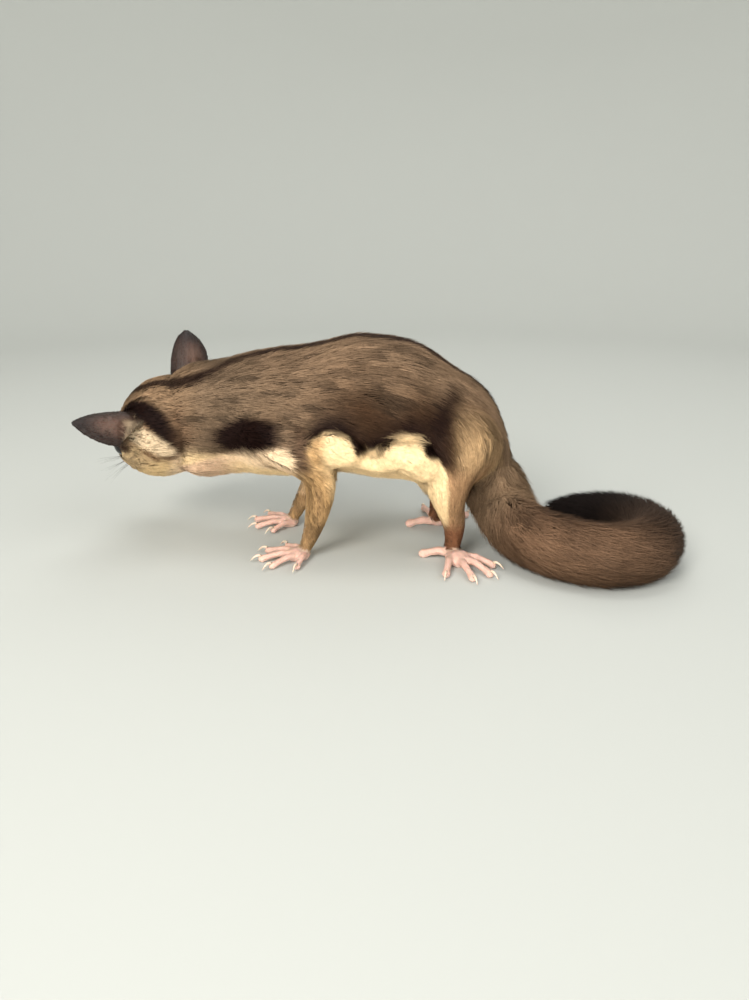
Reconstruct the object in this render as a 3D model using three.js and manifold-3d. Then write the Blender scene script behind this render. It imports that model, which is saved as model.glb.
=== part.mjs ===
// Sugar glider, life size, standing with its back arched, its head bent down to its right
// and its tail laid on the floor. Millimetres, +Z up, the head towards -X, the left side at -Y.
// The outline of each part is that of the coat, out to the tips of the fur.
import * as THREE from "three";
import { mergeVertices } from "three/addons/utils/BufferGeometryUtils.js";
import Module from "manifold-3d";

const wasm = await Module();
wasm.setup();

const gap = 0.3; // the thin cut between neighbouring parts

// Centre line of the body from the neck to the tip of the tail, with half the width and half
// the depth of the coat across it. The rows are counted from 0.
const spine = [
  { x: -40, y: 4.2, z: 35.2, wide: 10.8, deep: 13.2 },
  { x: -33, y: 1.6, z: 37.4, wide: 12.6, deep: 16.6 },
  { x: -25, y: 0.3, z: 39.9, wide: 13.8, deep: 17.2 },
  { x: -15, y: 0, z: 41.2, wide: 15.6, deep: 18 },
  { x: -5, y: 0, z: 41.7, wide: 17, deep: 18.9 },
  { x: 6, y: 0, z: 43, wide: 18.2, deep: 19.7 },
  { x: 18, y: 0, z: 44.2, wide: 19, deep: 20.5 },
  { x: 30, y: 0, z: 41.8, wide: 19.3, deep: 21 },
  { x: 40, y: 0, z: 38, wide: 18.2, deep: 18.9 },
  { x: 47.6, y: 0, z: 33.6, wide: 15.6, deep: 15.8 },
  { x: 52.6, y: -0.1, z: 28, wide: 12.2, deep: 12.4 },
  { x: 57.2, y: -0.6, z: 21.8, wide: 10.2, deep: 10.5 },
  { x: 60.8, y: -2, z: 15.4, wide: 9.2, deep: 9.5 },
  { x: 63.8, y: -8, z: 10, wide: 8.8, deep: 8.9 },
  { x: 68.6, y: -17, z: 8.6, wide: 8.7, deep: 8.7 },
  { x: 76, y: -25.4, z: 8.5, wide: 8.7, deep: 8.6 },
  { x: 86, y: -30, z: 8.4, wide: 8.6, deep: 8.5 },
  { x: 96.6, y: -27.4, z: 8.3, wide: 8.5, deep: 8.4 },
  { x: 103, y: -18.4, z: 8.1, wide: 8.4, deep: 8.2 },
  { x: 103.6, y: -7, z: 7.7, wide: 8.1, deep: 7.8 },
  { x: 98.4, y: 3.4, z: 6.9, wide: 7.2, deep: 7 },
  { x: 89.4, y: 10.8, z: 5.2, wide: 5.4, deep: 5.3 },
  { x: 80, y: 16.4, z: 2.6, wide: 1.8, deep: 1.8 },
];

const spineSides = 20;
const ringStep = 0.5; // from one ring of the surface to the next, in rows

// The lengths that the body and tail are named in: first ring, last ring and colour.
const lengths = [
  { name: "neck", from: 0, to: 5, color: "#7d6d5c" },
  { name: "chest", from: 5, to: 10, color: "#776757" },
  { name: "loin", from: 10, to: 15, color: "#6f6052" },
  { name: "rump", from: 15, to: 21, color: "#6c5d50" },
  { name: "tail_root", from: 21, to: 27, color: "#6a5b50" },
  { name: "tail_middle", from: 27, to: 33, color: "#63554b" },
  { name: "tail_end", from: 33, to: 39, color: "#4a3d36" },
  { name: "tail_tip", from: 39, to: 44, color: "#231b18" },
];

// Head: its middle, how far it is turned, nodded and tilted from a level head that looks along
// -X, and the outline of its coat from the back of the skull to the lips. Forward is along the
// snout, and the rest is measured from the head's own axis.
const headCentre = new THREE.Vector3(-42.6, 5.6, 35.6);
const headTurn = 41;
const headNod = 27;
const headTilt = 26;
const skull = [
  { forward: -19.5, wide: 3, top: 2.4, bottom: 5 },
  { forward: -18, wide: 7.6, top: 7.8, bottom: 9.8 },
  { forward: -13, wide: 12, top: 12.7, bottom: 13.2 },
  { forward: -6, wide: 14.4, top: 14.3, bottom: 15 },
  { forward: 1, wide: 14.6, top: 13.6, bottom: 15.2 },
  { forward: 7, wide: 13.4, top: 11.6, bottom: 14.4 },
  { forward: 12, wide: 11.2, top: 8, bottom: 12.8 },
  { forward: 16, wide: 8.6, top: 4.8, bottom: 10.6 },
  { forward: 19.5, wide: 5.8, top: 2.6, bottom: 7.8 },
  { forward: 21.8, wide: 3.4, top: 0.8, bottom: 5.4 },
  { forward: 22.6, wide: 1.4, top: -0.8, bottom: 3.6 },
];
const eyeRadius = 4;
const eyePlace = { forward: 6.2, side: 9.1, up: 3.1 };
const noseSize = { long: 2.6, wide: 2.3, high: 1.9 };
const nosePlace = { forward: 21.4, up: -0.5 };
const mouth = { back: 9.5, front: 26, up: -5.2, slope: 4, width: 24 };

// Ears: thin cupped leaves that stand up and outwards from the back half of the skull.
const ear = {
  halfWidth: 5.8,
  skew: 0.17, // how much wider the outer half is
  notch: 0.34, // how far up the ear its outer edge starts, as a share of the length
  thickness: 1,
  cup: 3.4,
  facing: 12, // how far the opening turns outwards from straight ahead
};
// Each ear moves by itself: where it stands, its length, how far it leans out from straight up
// and swings forward, and how late and how bluntly its sides close to the tip.
const ears = {
  left: {
    place: { forward: -7.8, side: 11, up: 6.6 },
    length: 18.7,
    lean: 49.5,
    swing: -2,
    late: 1.9,
    blunt: 0.8,
  },
  right: {
    place: { forward: -9.6, side: 11.8, up: 6.2 },
    length: 16.6,
    lean: 44,
    swing: -8,
    late: 2.8,
    blunt: 0.7,
  },
};

// Legs: centre line and radius of each, for a leg on the left, with "out" away from the middle.
const foreleg = [
  { x: -9, out: 9.5, z: 39, radius: 8.4 },
  { x: -3, out: 13.2, z: 36, radius: 8.2 },
  { x: 4, out: 15.4, z: 32, radius: 6.9 },
  { x: 7, out: 15.8, z: 26.5, radius: 4.9 },
  { x: 6.6, out: 15, z: 20, radius: 4 },
  { x: 5.4, out: 14, z: 14, radius: 3.3 },
  { x: 4, out: 13.3, z: 9, radius: 2.6 },
  { x: 2.4, out: 13, z: 5, radius: 2.2 },
  { x: 1.4, out: 13, z: 2.8, radius: 1.5 },
];
const hindleg = [
  { x: 49, out: 5.4, z: 38, radius: 11.5 },
  { x: 46.5, out: 9.4, z: 33.4, radius: 11.6 },
  { x: 43.6, out: 13.4, z: 28.4, radius: 9.4 },
  { x: 43.4, out: 14.6, z: 22.6, radius: 6.7 },
  { x: 44.6, out: 14.2, z: 17, radius: 4.8 },
  { x: 45.8, out: 13.6, z: 12, radius: 3.5 },
  { x: 46, out: 13, z: 7.6, radius: 2.8 },
  { x: 45.6, out: 12.8, z: 4, radius: 2.4 },
  { x: 45.4, out: 12.8, z: 2.4, radius: 1.6 },
];

// Feet: where the foot starts, where it points (degrees from straight back, outwards), and its
// toes as bearing from that, length and radius. The thumb of the hind foot has no claw.
const forefoot = {
  x: 2.4,
  out: 13,
  bearing: 168,
  palm: { long: 6.2, wide: 3.3, high: 2.3 },
  toes: [
    { bearing: -62, length: 6.6, radius: 1, start: 2.4 },
    { bearing: -27, length: 8.4, radius: 1.05, start: 4.2 },
    { bearing: 0, length: 9, radius: 1.1, start: 4.8 },
    { bearing: 26, length: 8.6, radius: 1.05, start: 4.2 },
    { bearing: 56, length: 7, radius: 1, start: 2.6 },
  ],
};
const hindfoot = {
  x: 45.6,
  out: 12.8,
  bearing: 66,
  palm: { long: 8.6, wide: 3.7, high: 2.5 },
  toes: [
    { bearing: -32, length: 8.6, radius: 1.15, start: 5 },
    { bearing: -11, length: 10, radius: 1.2, start: 6.6 },
    { bearing: 9, length: 10.2, radius: 1.2, start: 6.6 },
    { bearing: 36, length: 9, radius: 1.2, start: 5 },
  ],
  thumb: { bearing: 118, length: 7.4, radius: 1.4, start: 1.4 },
};
const step = { fore: -6, hind: -3 }; // how far the right feet stand ahead of the left ones

// Claws: small hooks at the toe tips.
const claw = { length: 2.1, radius: 0.5, high: 1.5, hook: 0.45, bend: 2.6, drop: 0.9 };

// Gliding membrane: a thick wavy fold along each flank, from the elbow to the knee.
const membrane = [
  { x: 2.5, out: 16.2, z: 33.5, radius: 2.6 },
  { x: 7.5, out: 17.8, z: 35.4, radius: 5.1 },
  { x: 13.2, out: 18.4, z: 35.3, radius: 5.3 },
  { x: 17.2, out: 17, z: 32.6, radius: 3.2 },
  { x: 20.8, out: 16.6, z: 31.4, radius: 2.7 },
  { x: 25.2, out: 17.8, z: 32, radius: 3.6 },
  { x: 30.8, out: 18.7, z: 34.8, radius: 5.8 },
  { x: 36.2, out: 17.8, z: 30.6, radius: 5 },
  { x: 41, out: 17.2, z: 29.2, radius: 3.8 },
];

const radians = THREE.MathUtils.degToRad;

// Value of one column of a table at a place counted in rows, on a smooth curve through them.
function sample(rows, key, at) {
  const row = THREE.MathUtils.clamp(Math.floor(at), 0, rows.length - 2);
  const value = (i) => rows[THREE.MathUtils.clamp(i, 0, rows.length - 1)][key];
  const t = at - row;
  const [a, b, c, d] = [-1, 0, 1, 2].map((offset) => value(row + offset));
  const bend = 3 * (b - c) + d - a;
  return b + 0.5 * t * (c - a + t * (2 * a - 5 * b + 4 * c - d + t * bend));
}

// Closed skin over rings of points, each ring given as an array of Vector3.
function closeRings(rings) {
  const sides = rings[0].length;
  const points = rings.flat();
  const first = points.push(centroid(rings[0])) - 1;
  const last = points.push(centroid(rings.at(-1))) - 1;
  const index = [];
  for (let i = 0; i < sides; i++) {
    const next = (i + 1) % sides;
    const end = (rings.length - 1) * sides;
    index.push(first, next, i, last, end + i, end + next);
    for (let r = 0; r < end; r += sides) {
      index.push(r + i, r + next, r + sides + i);
      index.push(r + next, r + sides + next, r + sides + i);
    }
  }
  return new THREE.BufferGeometry().setFromPoints(points).setIndex(index);
}

function centroid(points) {
  const sum = points.reduce((total, p) => total.add(p), new THREE.Vector3());
  return sum.divideScalar(points.length);
}

// Rings across a path: place(at) gives the centre and size(at) half the width, and the reach
// above and below it. The rings start level and turn with the path without twisting.
function sweep(place, size, from, to, ringCount, sides) {
  const side = new THREE.Vector3(0, 1, 0);
  const ahead = tangent(place, from);
  side.addScaledVector(ahead, -side.dot(ahead)).normalize();
  const rings = [];
  for (let r = 0; r <= ringCount; r++) {
    const at = from + ((to - from) * r) / ringCount;
    const now = tangent(place, at);
    side.applyQuaternion(new THREE.Quaternion().setFromUnitVectors(ahead, now));
    ahead.copy(now);
    const up = new THREE.Vector3().crossVectors(ahead, side).normalize();
    const centre = place(at);
    const { wide, top, bottom } = size(at);
    const ring = [];
    for (let i = 0; i < sides; i++) {
      const angle = (2 * Math.PI * i) / sides;
      const rise = Math.sin(angle);
      ring.push(
        centre
          .clone()
          .addScaledVector(side, Math.cos(angle) * wide)
          .addScaledVector(up, rise * (rise > 0 ? top : bottom)),
      );
    }
    rings.push(ring);
  }
  return rings;
}

function tangent(place, at) {
  const reach = 0.02;
  return place(at + reach).sub(place(at - reach)).normalize();
}

// Solid of a geometry, and back again.
function solid(geometry) {
  const bare = geometry.clone();
  bare.deleteAttribute("normal");
  bare.deleteAttribute("uv");
  const merged = mergeVertices(bare, 1e-4);
  return new wasm.Manifold(
    new wasm.Mesh({
      numProp: 3,
      vertProperties: new Float32Array(merged.attributes.position.array),
      triVerts: new Uint32Array(merged.index.array),
    }),
  );
}

function surface(shape) {
  const mesh = shape.getMesh();
  return new THREE.BufferGeometry()
    .setAttribute("position", new THREE.BufferAttribute(mesh.vertProperties, 3))
    .setIndex(new THREE.BufferAttribute(mesh.triVerts, 1));
}

// The largest body of a solid, without the slivers that a cut leaves.
function mainBody(shape) {
  return shape.decompose().reduce((a, b) => (a.volume() > b.volume() ? a : b));
}

// Everything below the floor, which gives the feet and tail small flats to rest on.
const belowFloor = solid(new THREE.BoxGeometry(400, 400, 40).translate(0, 0, -20));

function ellipsoid(long, wide, high, detail) {
  return new THREE.SphereGeometry(1, detail, Math.round(detail * 0.7)).scale(long, wide, high);
}

const body = new THREE.Group();

function add(name, geometry, color, roughness, parent = body) {
  geometry.computeVertexNormals();
  const material = new THREE.MeshStandardMaterial({ color, roughness, metalness: 0 });
  const mesh = new THREE.Mesh(geometry, material);
  mesh.name = name;
  parent.add(mesh);
}

// Body and tail

function spineRings(extra) {
  const place = (at) =>
    new THREE.Vector3(sample(spine, "x", at), sample(spine, "y", at), sample(spine, "z", at));
  const size = (at) => {
    const deep = sample(spine, "deep", at) + extra;
    return { wide: sample(spine, "wide", at) + extra, top: deep, bottom: deep };
  };
  const end = spine.length - 1;
  return sweep(place, size, 0, end, Math.round(end / ringStep), spineSides);
}

// One ring moved towards another by half of the thin cut.
function partedRing(ring, towards) {
  const reach = centroid(ring).distanceTo(centroid(towards));
  return ring.map((point, i) => point.clone().lerp(towards[i], gap / 2 / reach));
}

function spineLength(rings, { from, to }) {
  const inner = rings.slice(from + 1, to);
  const first = partedRing(rings[from], rings[from + 1]);
  const last = partedRing(rings[to], rings[to - 1]);
  return solid(closeRings([first, ...inner, last]));
}

// The head stands in its own frame: +X along the snout, +Y to its left, +Z through the crown.
const head = new THREE.Group();
head.position.copy(headCentre);
head.rotation.order = "ZYX";
head.rotation.set(-radians(headTilt), radians(headNod), radians(180 - headTurn));
head.updateMatrixWorld(true);
body.add(head);

function headShape(extra) {
  const place = (at) => new THREE.Vector3(sample(skull, "forward", at), 0, 0);
  const size = (at) => ({
    wide: sample(skull, "wide", at) + extra,
    top: sample(skull, "top", at) + extra,
    bottom: sample(skull, "bottom", at) + extra,
  });
  const end = skull.length - 1;
  return solid(closeRings(sweep(place, size, 0, end, 14, 18)));
}

const headInBody = solid(surface(headShape(gap)).applyMatrix4(head.matrixWorld));
const bodyRings = spineRings(0);

for (const length of lengths) {
  let shape = spineLength(bodyRings, length);
  if (length.name === "neck") shape = mainBody(shape.subtract(headInBody));
  if (length.name.startsWith("tail")) shape = mainBody(shape.subtract(belowFloor));
  add(length.name, surface(shape), length.color, 0.95);
}

// The whole body and tail, a thin cut larger, to part the legs and membranes from them.
const wholeSpine = solid(closeRings(spineRings(gap)));

// Head, eyes, nose and ears

function eyeball(side, radius) {
  return new THREE.SphereGeometry(radius, 12, 8).translate(
    eyePlace.forward,
    side * eyePlace.side,
    eyePlace.up,
  );
}

function noseShape(extra) {
  const { long, wide, high } = noseSize;
  return solid(
    ellipsoid(long + extra, wide + extra, high + extra, 10)
      .rotateY(radians(18))
      .translate(nosePlace.forward, 0, nosePlace.up),
  );
}

const lipLine = solid(
  new THREE.BoxGeometry(mouth.front - mouth.back, mouth.width, gap)
    .rotateY(radians(mouth.slope))
    .translate((mouth.front + mouth.back) / 2, 0, mouth.up),
);

const sockets = solid(eyeball(1, eyeRadius + gap)).add(solid(eyeball(-1, eyeRadius + gap)));
const headSolid = headShape(0).subtract(noseShape(gap)).subtract(lipLine).subtract(sockets);
add("head", surface(mainBody(headSolid)), "#8a775c", 0.95, head);
add("nose", surface(noseShape(0)), "#b9827c", 0.55, head);
add("eye_left", eyeball(1, eyeRadius), "#0b0908", 0.08, head);
add("eye_right", eyeball(-1, eyeRadius), "#0b0908", 0.08, head);

// A leaf that is cupped across its width: rows of points up the front, and the same behind.
function earShape(side, { length, late, blunt }) {
  const rows = 8;
  const columns = 6;
  const rings = [];
  for (let r = 0; r <= rows; r++) {
    const t = (r / rows) * 0.985;
    const half = ear.halfWidth * Math.pow(1 - Math.pow(t, late), blunt);
    const thick = ear.thickness * (1 - 0.35 * t);
    const lean = 1.6 * t * t;
    const hollow = (u) => ear.cup * (half / ear.halfWidth) * (u * u - 0.5) + lean;
    const start = (u) => ear.notch * Math.pow(Math.max(0, side * u), 1.6);
    const height = (u) => (start(u) + (1 - start(u)) * t) * length;
    const across = (k) => (2 * k) / columns - 1;
    const reach = (u) => half * (u + side * ear.skew * u * u);
    const ring = [];
    for (let k = 0; k <= columns; k++) {
      const u = across(k);
      ring.push(new THREE.Vector3(hollow(u) + thick / 2, reach(u), height(u)));
    }
    for (let k = columns; k >= 0; k--) {
      const u = across(k);
      ring.push(new THREE.Vector3(hollow(u) - thick / 2, reach(u), height(u)));
    }
    rings.push(ring);
  }
  return closeRings(rings);
}

const neckInHead = surface(wholeSpine).applyMatrix4(head.matrixWorld.clone().invert());
const earCut = headShape(gap).add(solid(neckInHead));
for (const hand of ["left", "right"]) {
  // The opening looks along +X; the ear turns about its own length, leans out and swings.
  const side = hand === "left" ? 1 : -1;
  const { place, lean, swing } = ears[hand];
  const leaf = earShape(side, ears[hand])
    .rotateZ(side * radians(ear.facing))
    .rotateX(-side * radians(lean))
    .rotateZ(-side * radians(swing))
    .translate(place.forward, side * place.side, place.up);
  add("ear_" + hand, surface(mainBody(solid(leaf).subtract(earCut))), "#4b3a3a", 0.8, head);
}

// Legs

function limbShape(rows, side, shift, extra, sides = 10) {
  const across = (at) => side * sample(rows, "out", at);
  const slide = (at) => shift * THREE.MathUtils.smoothstep(at, 2, rows.length - 2);
  const place = (at) =>
    new THREE.Vector3(sample(rows, "x", at) + slide(at), across(at), sample(rows, "z", at));
  const size = (at) => {
    const radius = sample(rows, "radius", at) + extra;
    return { wide: radius, top: radius, bottom: radius };
  };
  const end = rows.length - 1;
  return solid(closeRings(sweep(place, size, 0, end, Math.round(end * 1.3), sides)));
}

// A toe that leaves the foot, arches over its knuckle and comes down on its pad.
function toeShape(toe) {
  const rows = [
    { x: 0, y: 0, z: 1.9, radius: toe.radius * 1.1 },
    { x: toe.length * 0.35, y: 0, z: 2.3, radius: toe.radius },
    { x: toe.length * 0.72, y: 0, z: 1.7, radius: toe.radius * 0.85 },
    { x: toe.length, y: 0, z: 1.05, radius: toe.radius * 1.12 },
    { x: toe.length + toe.radius * 0.8, y: 0, z: 0.95, radius: toe.radius * 0.55 },
  ];
  const place = (at) => new THREE.Vector3(sample(rows, "x", at), 0, sample(rows, "z", at));
  const size = (at) => {
    const radius = sample(rows, "radius", at);
    return { wide: radius, top: radius, bottom: radius };
  };
  return closeRings(sweep(place, size, 0, rows.length - 1, 4, 6));
}

function clawShape(toe) {
  const start = toe.length + toe.radius * 0.85 + gap;
  const place = (at) =>
    new THREE.Vector3(
      start + claw.length * at,
      0,
      claw.high + claw.hook * Math.sin(claw.bend * at) - claw.drop * at,
    );
  const size = (at) => {
    const radius = claw.radius * (1 - 0.85 * at);
    return { wide: radius * 0.75, top: radius, bottom: radius };
  };
  return closeRings(sweep(place, size, 0, 1, 3, 4));
}

// Moves a piece of the foot from the heel, with its toes along +X, to its place on the floor.
function onFoot(geometry, toe, foot, shift) {
  const bearing = radians(toe.bearing);
  return geometry
    .rotateZ(bearing)
    .translate(toe.start * Math.cos(bearing), toe.start * Math.sin(bearing), 0)
    .rotateZ(radians(foot.bearing))
    .translate(foot.x + shift, foot.out, 0);
}

// Left and right pieces are mirror images across the middle of the body.
function mirrored(shape, side) {
  return side > 0 ? shape : shape.mirror([0, 1, 0]);
}

function footShape(foot, side, shift) {
  const { long, wide, high } = foot.palm;
  const sole = ellipsoid(long * 0.62, wide, high, 8)
    .translate(long * 0.46, 0, 1.5)
    .rotateZ(radians(foot.bearing))
    .translate(foot.x + shift, foot.out, 0);
  const digits = foot.thumb ? [...foot.toes, foot.thumb] : foot.toes;
  let shape = solid(sole);
  for (const toe of digits) {
    shape = shape.add(solid(onFoot(toeShape(toe), toe, foot, shift)));
  }
  return mirrored(shape, side);
}

for (const side of [-1, 1]) {
  const hand = side < 0 ? "left" : "right";
  const foreStep = side < 0 ? 0 : step.fore;
  const hindStep = side < 0 ? 0 : step.hind;
  const limbs = [
    { end: "fore", rows: foreleg, foot: forefoot, shift: foreStep },
    { end: "hind", rows: hindleg, foot: hindfoot, shift: hindStep },
  ];
  let membraneSolid = limbShape(membrane, side, 0, 0).subtract(wholeSpine);
  for (const { end, rows, foot, shift } of limbs) {
    const legSolid = limbShape(rows, side, shift, 0).subtract(wholeSpine);
    membraneSolid = membraneSolid.subtract(limbShape(rows, side, shift, gap));
    const footSolid = footShape(foot, side, shift);
    const footCut = footSolid.subtract(limbShape(rows, side, shift, gap)).subtract(belowFloor);
    add(`${end}leg_${hand}`, surface(mainBody(legSolid.subtract(belowFloor))), "#7a6b58", 0.95);
    add(`${end}foot_${hand}`, surface(mainBody(footCut)), "#c99a94", 0.6);
    foot.toes.forEach((toe, i) => {
      const hook = mirrored(solid(onFoot(clawShape(toe), toe, foot, shift)), side);
      add(`${end}claw_${hand}_${i + 1}`, surface(hook), "#e9dccb", 0.4);
    });
  }
  add("membrane_" + hand, surface(mainBody(membraneSolid)), "#e2cfa6", 0.95);
}

// The origin is on the floor, under the middle of the whole animal.
const part = new THREE.Group();
part.add(body);
part.updateMatrixWorld(true);
const extent = new THREE.Box3().setFromObject(body, true);
const middle = extent.getCenter(new THREE.Vector3());
body.position.set(-middle.x, -middle.y, -extent.min.z);

export default part;
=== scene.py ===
# Sugar glider as a still, life-size model: one skin over the whole body, a coat of thin tufts
# that lie along it, glossy eyes, claws and whiskers. Shapes are worked out in millimetres.
import math

import bpy
import numpy as np
from mathutils import Euler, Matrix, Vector
from mathutils.bvhtree import BVHTree
from mathutils.kdtree import KDTree


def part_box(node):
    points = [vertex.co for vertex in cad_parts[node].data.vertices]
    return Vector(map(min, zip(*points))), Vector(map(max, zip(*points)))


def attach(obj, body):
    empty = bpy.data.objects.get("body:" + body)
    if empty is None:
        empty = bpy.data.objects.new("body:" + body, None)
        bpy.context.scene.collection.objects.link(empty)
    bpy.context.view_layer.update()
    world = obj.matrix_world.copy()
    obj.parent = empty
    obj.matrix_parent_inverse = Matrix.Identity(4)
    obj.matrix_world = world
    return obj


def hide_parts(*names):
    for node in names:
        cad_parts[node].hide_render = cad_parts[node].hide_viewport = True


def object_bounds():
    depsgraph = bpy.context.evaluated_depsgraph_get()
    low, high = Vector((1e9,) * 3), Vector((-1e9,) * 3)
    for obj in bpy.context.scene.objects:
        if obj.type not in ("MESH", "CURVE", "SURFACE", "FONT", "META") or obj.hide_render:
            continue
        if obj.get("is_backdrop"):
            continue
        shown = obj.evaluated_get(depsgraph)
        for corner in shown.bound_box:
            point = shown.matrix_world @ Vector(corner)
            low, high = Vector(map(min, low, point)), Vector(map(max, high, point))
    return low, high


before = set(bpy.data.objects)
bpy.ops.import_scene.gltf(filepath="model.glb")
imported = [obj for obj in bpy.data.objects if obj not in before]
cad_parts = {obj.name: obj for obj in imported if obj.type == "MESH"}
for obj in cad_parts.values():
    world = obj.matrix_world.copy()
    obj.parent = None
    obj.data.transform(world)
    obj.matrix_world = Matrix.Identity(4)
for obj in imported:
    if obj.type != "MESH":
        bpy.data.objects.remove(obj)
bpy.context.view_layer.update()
draws = np.random.default_rng(11)
mm = 0.001

# Camera, at the photograph's viewing angle: 20 degrees down, a hand's length away
camera = {"place": (-0.00345, -0.21588, 0.09351), "pitchDown": 20, "lens": 27.0, "sensor": 36.0}
bpy.ops.object.camera_add(
    location=camera["place"], rotation=(math.radians(90 - camera["pitchDown"]), 0, 0)
)
bpy.context.object.data.lens = camera["lens"]
bpy.context.object.data.sensor_width = camera["sensor"]
bpy.context.object.data.clip_start = 0.01
bpy.context.scene.camera = bpy.context.object
print("camera placed")


# Small helpers


def linear(hexColor):
    channels = [int(hexColor[i : i + 2], 16) / 255 for i in (1, 3, 5)]
    return np.array([c / 12.92 if c <= 0.04045 else ((c + 0.055) / 1.055) ** 2.4 for c in channels])


def ramp(value, start, end):
    t = np.clip((value - start) / (end - start), 0, 1)
    return t * t * (3 - 2 * t)


def unit(vectors):
    return vectors / np.maximum(np.linalg.norm(vectors, axis=-1, keepdims=True), 1e-9)


def dot(a, b):
    return (a * b).sum(-1)


def bell(distance, width):
    return np.exp(-((distance / width) ** 2))


def mix(first, second, share):
    return (1 - share) * first + share * second


def treeOf(places):
    tree = KDTree(len(places))
    for i, place in enumerate(places.tolist()):
        tree.insert(place, i)
    tree.balance()
    return tree


def makeActive(piece):
    bpy.ops.object.select_all(action="DESELECT")
    piece.select_set(True)
    bpy.context.view_layer.objects.active = piece


def newPiece(name, mesh):
    piece = bpy.data.objects.new(name, mesh)
    bpy.context.scene.collection.objects.link(piece)
    return piece


def applyModifier(piece, kind, **settings):
    makeActive(piece)
    modifier = piece.modifiers.new(kind.lower(), kind)
    for key, value in settings.items():
        setattr(modifier, key, value)
    bpy.ops.object.modifier_apply(modifier=modifier.name)


def readArray(collection, field, width, kind=np.float32):
    values = np.zeros(len(collection) * width, kind)
    collection.foreach_get(field, values)
    return values.reshape(-1, width) if width > 1 else values


def addColors(mesh, colors):
    rgba = np.hstack([colors, np.ones((len(colors), 1))]).astype(np.float32)
    mesh.color_attributes.new("coatColor", "FLOAT_COLOR", "POINT").data.foreach_set("color", rgba.ravel())


def addField(mesh, name, values):
    mesh.attributes.new(name, "FLOAT", "POINT").data.foreach_set("value", values.astype(np.float32))


# The animal's own directions, from the frame: the eyes and the nose say how the head is held


def centreOf(node):
    low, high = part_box(node)
    return np.array((low + high) / 2) / mm


headPlan = {
    "eye": (6.2, 9.1, 3.1),  # forward of the middle of the head, to its left, and up
    "nose": (21.4, 0.0, -0.5),
    "middle": (-42.6, 5.6, 35.6),  # of the head, in the body's own millimetres
    "eyeRadius": 4.0,
}
earPlan = {
    "halfWidth": 5.8, "skew": 0.17, "facing": 12,
    "ridge": 0.07, "ridgeTurns": 46, "ridgeReach": 0.75,  # faint folds across the inside
    "rim": 0.12, "rimAt": 0.96, "rimWidth": 0.12,
}  # fmt: skip
# How each ear stands on the head, in degrees and mm, and how late and bluntly it tapers
earPoses = {
    "left": {"side": 1, "place": (-7.8, 11, 6.6), "length": 18.7, "lean": 49.5, "swing": -2,
             "late": 1.9, "blunt": 0.8},
    "right": {"side": -1, "place": (-9.6, -11.8, 6.2), "length": 16.6, "lean": 44, "swing": -8,
              "late": 2.8, "blunt": 0.7},
}  # fmt: skip
eyes = {side: centreOf("eye_" + side) for side in ("left", "right")}
headLeft = unit(eyes["left"] - eyes["right"])
betweenEyes = (eyes["left"] + eyes["right"]) / 2
toNose = unit(centreOf("nose") - betweenEyes)
toCrown = np.cross(toNose, headLeft)
drop = math.atan2(headPlan["eye"][2] - headPlan["nose"][2], headPlan["nose"][0] - headPlan["eye"][0])
headForward = math.cos(drop) * toNose + math.sin(drop) * toCrown
headUp = math.cos(drop) * toCrown - math.sin(drop) * toNose
headAxes = np.array([headForward, headLeft, headUp])
headMiddle = betweenEyes - headPlan["eye"][0] * headForward - headPlan["eye"][2] * headUp
bodyZero = headMiddle - np.array(headPlan["middle"])  # where the body's own zero lies in the frame
eyeMiddle = {side: eyes[side] - bodyZero for side in eyes}


def inHead(points):
    return (points - np.array(headPlan["middle"])) @ headAxes.T


def fromHead(points):
    return np.asarray(points) @ headAxes + np.array(headPlan["middle"])


# The line through the middle of the body and tail, which the coat follows to the rear
backLine = np.array([
    (-40, 4.2, 35.2), (-33, 1.6, 37.4), (-25, 0.3, 39.9), (-15, 0, 41.2), (-5, 0, 41.7),
    (6, 0, 43), (18, 0, 44.2), (30, 0, 41.8), (40, 0, 38), (47.6, 0, 33.6), (52.6, -0.1, 28),
    (57.2, -0.6, 21.8), (60.8, -2, 15.4), (63.8, -8, 10), (68.6, -17, 8.6), (76, -25.4, 8.5),
    (86, -30, 8.4), (96.6, -27.4, 8.3), (103, -18.4, 8.1), (103.6, -7, 7.7), (98.4, 3.4, 6.9),
    (89.4, 10.8, 5.2), (80, 16.4, 2.6),
])  # fmt: skip
lengthsOfBody = {  # first and last row of each named length on that line
    "neck": (0, 2.5), "chest": (2.5, 5), "loin": (5, 7.5), "rump": (7.5, 10.5),
    "tail_root": (10.5, 13.5), "tail_middle": (13.5, 16.5), "tail_end": (16.5, 19.5),
    "tail_tip": (19.5, 22),
}  # fmt: skip
rowsPerSample = 0.05


def onBackLine(at):
    row = np.clip(np.floor(at), 0, len(backLine) - 2).astype(int)
    t = (at - row)[:, None]
    a, b, c, d = [backLine[np.clip(row + k, 0, len(backLine) - 1)] for k in (-1, 0, 1, 2)]
    return b + 0.5 * t * (c - a + t * (2 * a - 5 * b + 4 * c - d + t * (3 * (b - c) + d - a)))


sampleRows = np.arange(0, len(backLine) - 1 + rowsPerSample / 2, rowsPerSample)
samplePoints = onBackLine(sampleRows)
sampleAhead = unit(np.gradient(samplePoints, axis=0))
sampleUp = unit(np.array([0, 0, 1.0]) - sampleAhead * sampleAhead[:, 2:])
sampleSide = np.cross(sampleUp, sampleAhead)  # to the animal's right, where y is positive


def alongBody(points, firstRow, lastRow):
    # Nearest sample of the line, of those between two rows.
    picked = np.flatnonzero((sampleRows >= firstRow) & (sampleRows <= lastRow))
    nearest = np.empty(len(points), int)
    blockSize = 4000
    for start in range(0, len(points), blockSize):
        block = points[start : start + blockSize, None, :] - samplePoints[None, picked, :]
        nearest[start : start + blockSize] = picked[np.argmin((block**2).sum(2), axis=1)]
    return nearest


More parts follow.
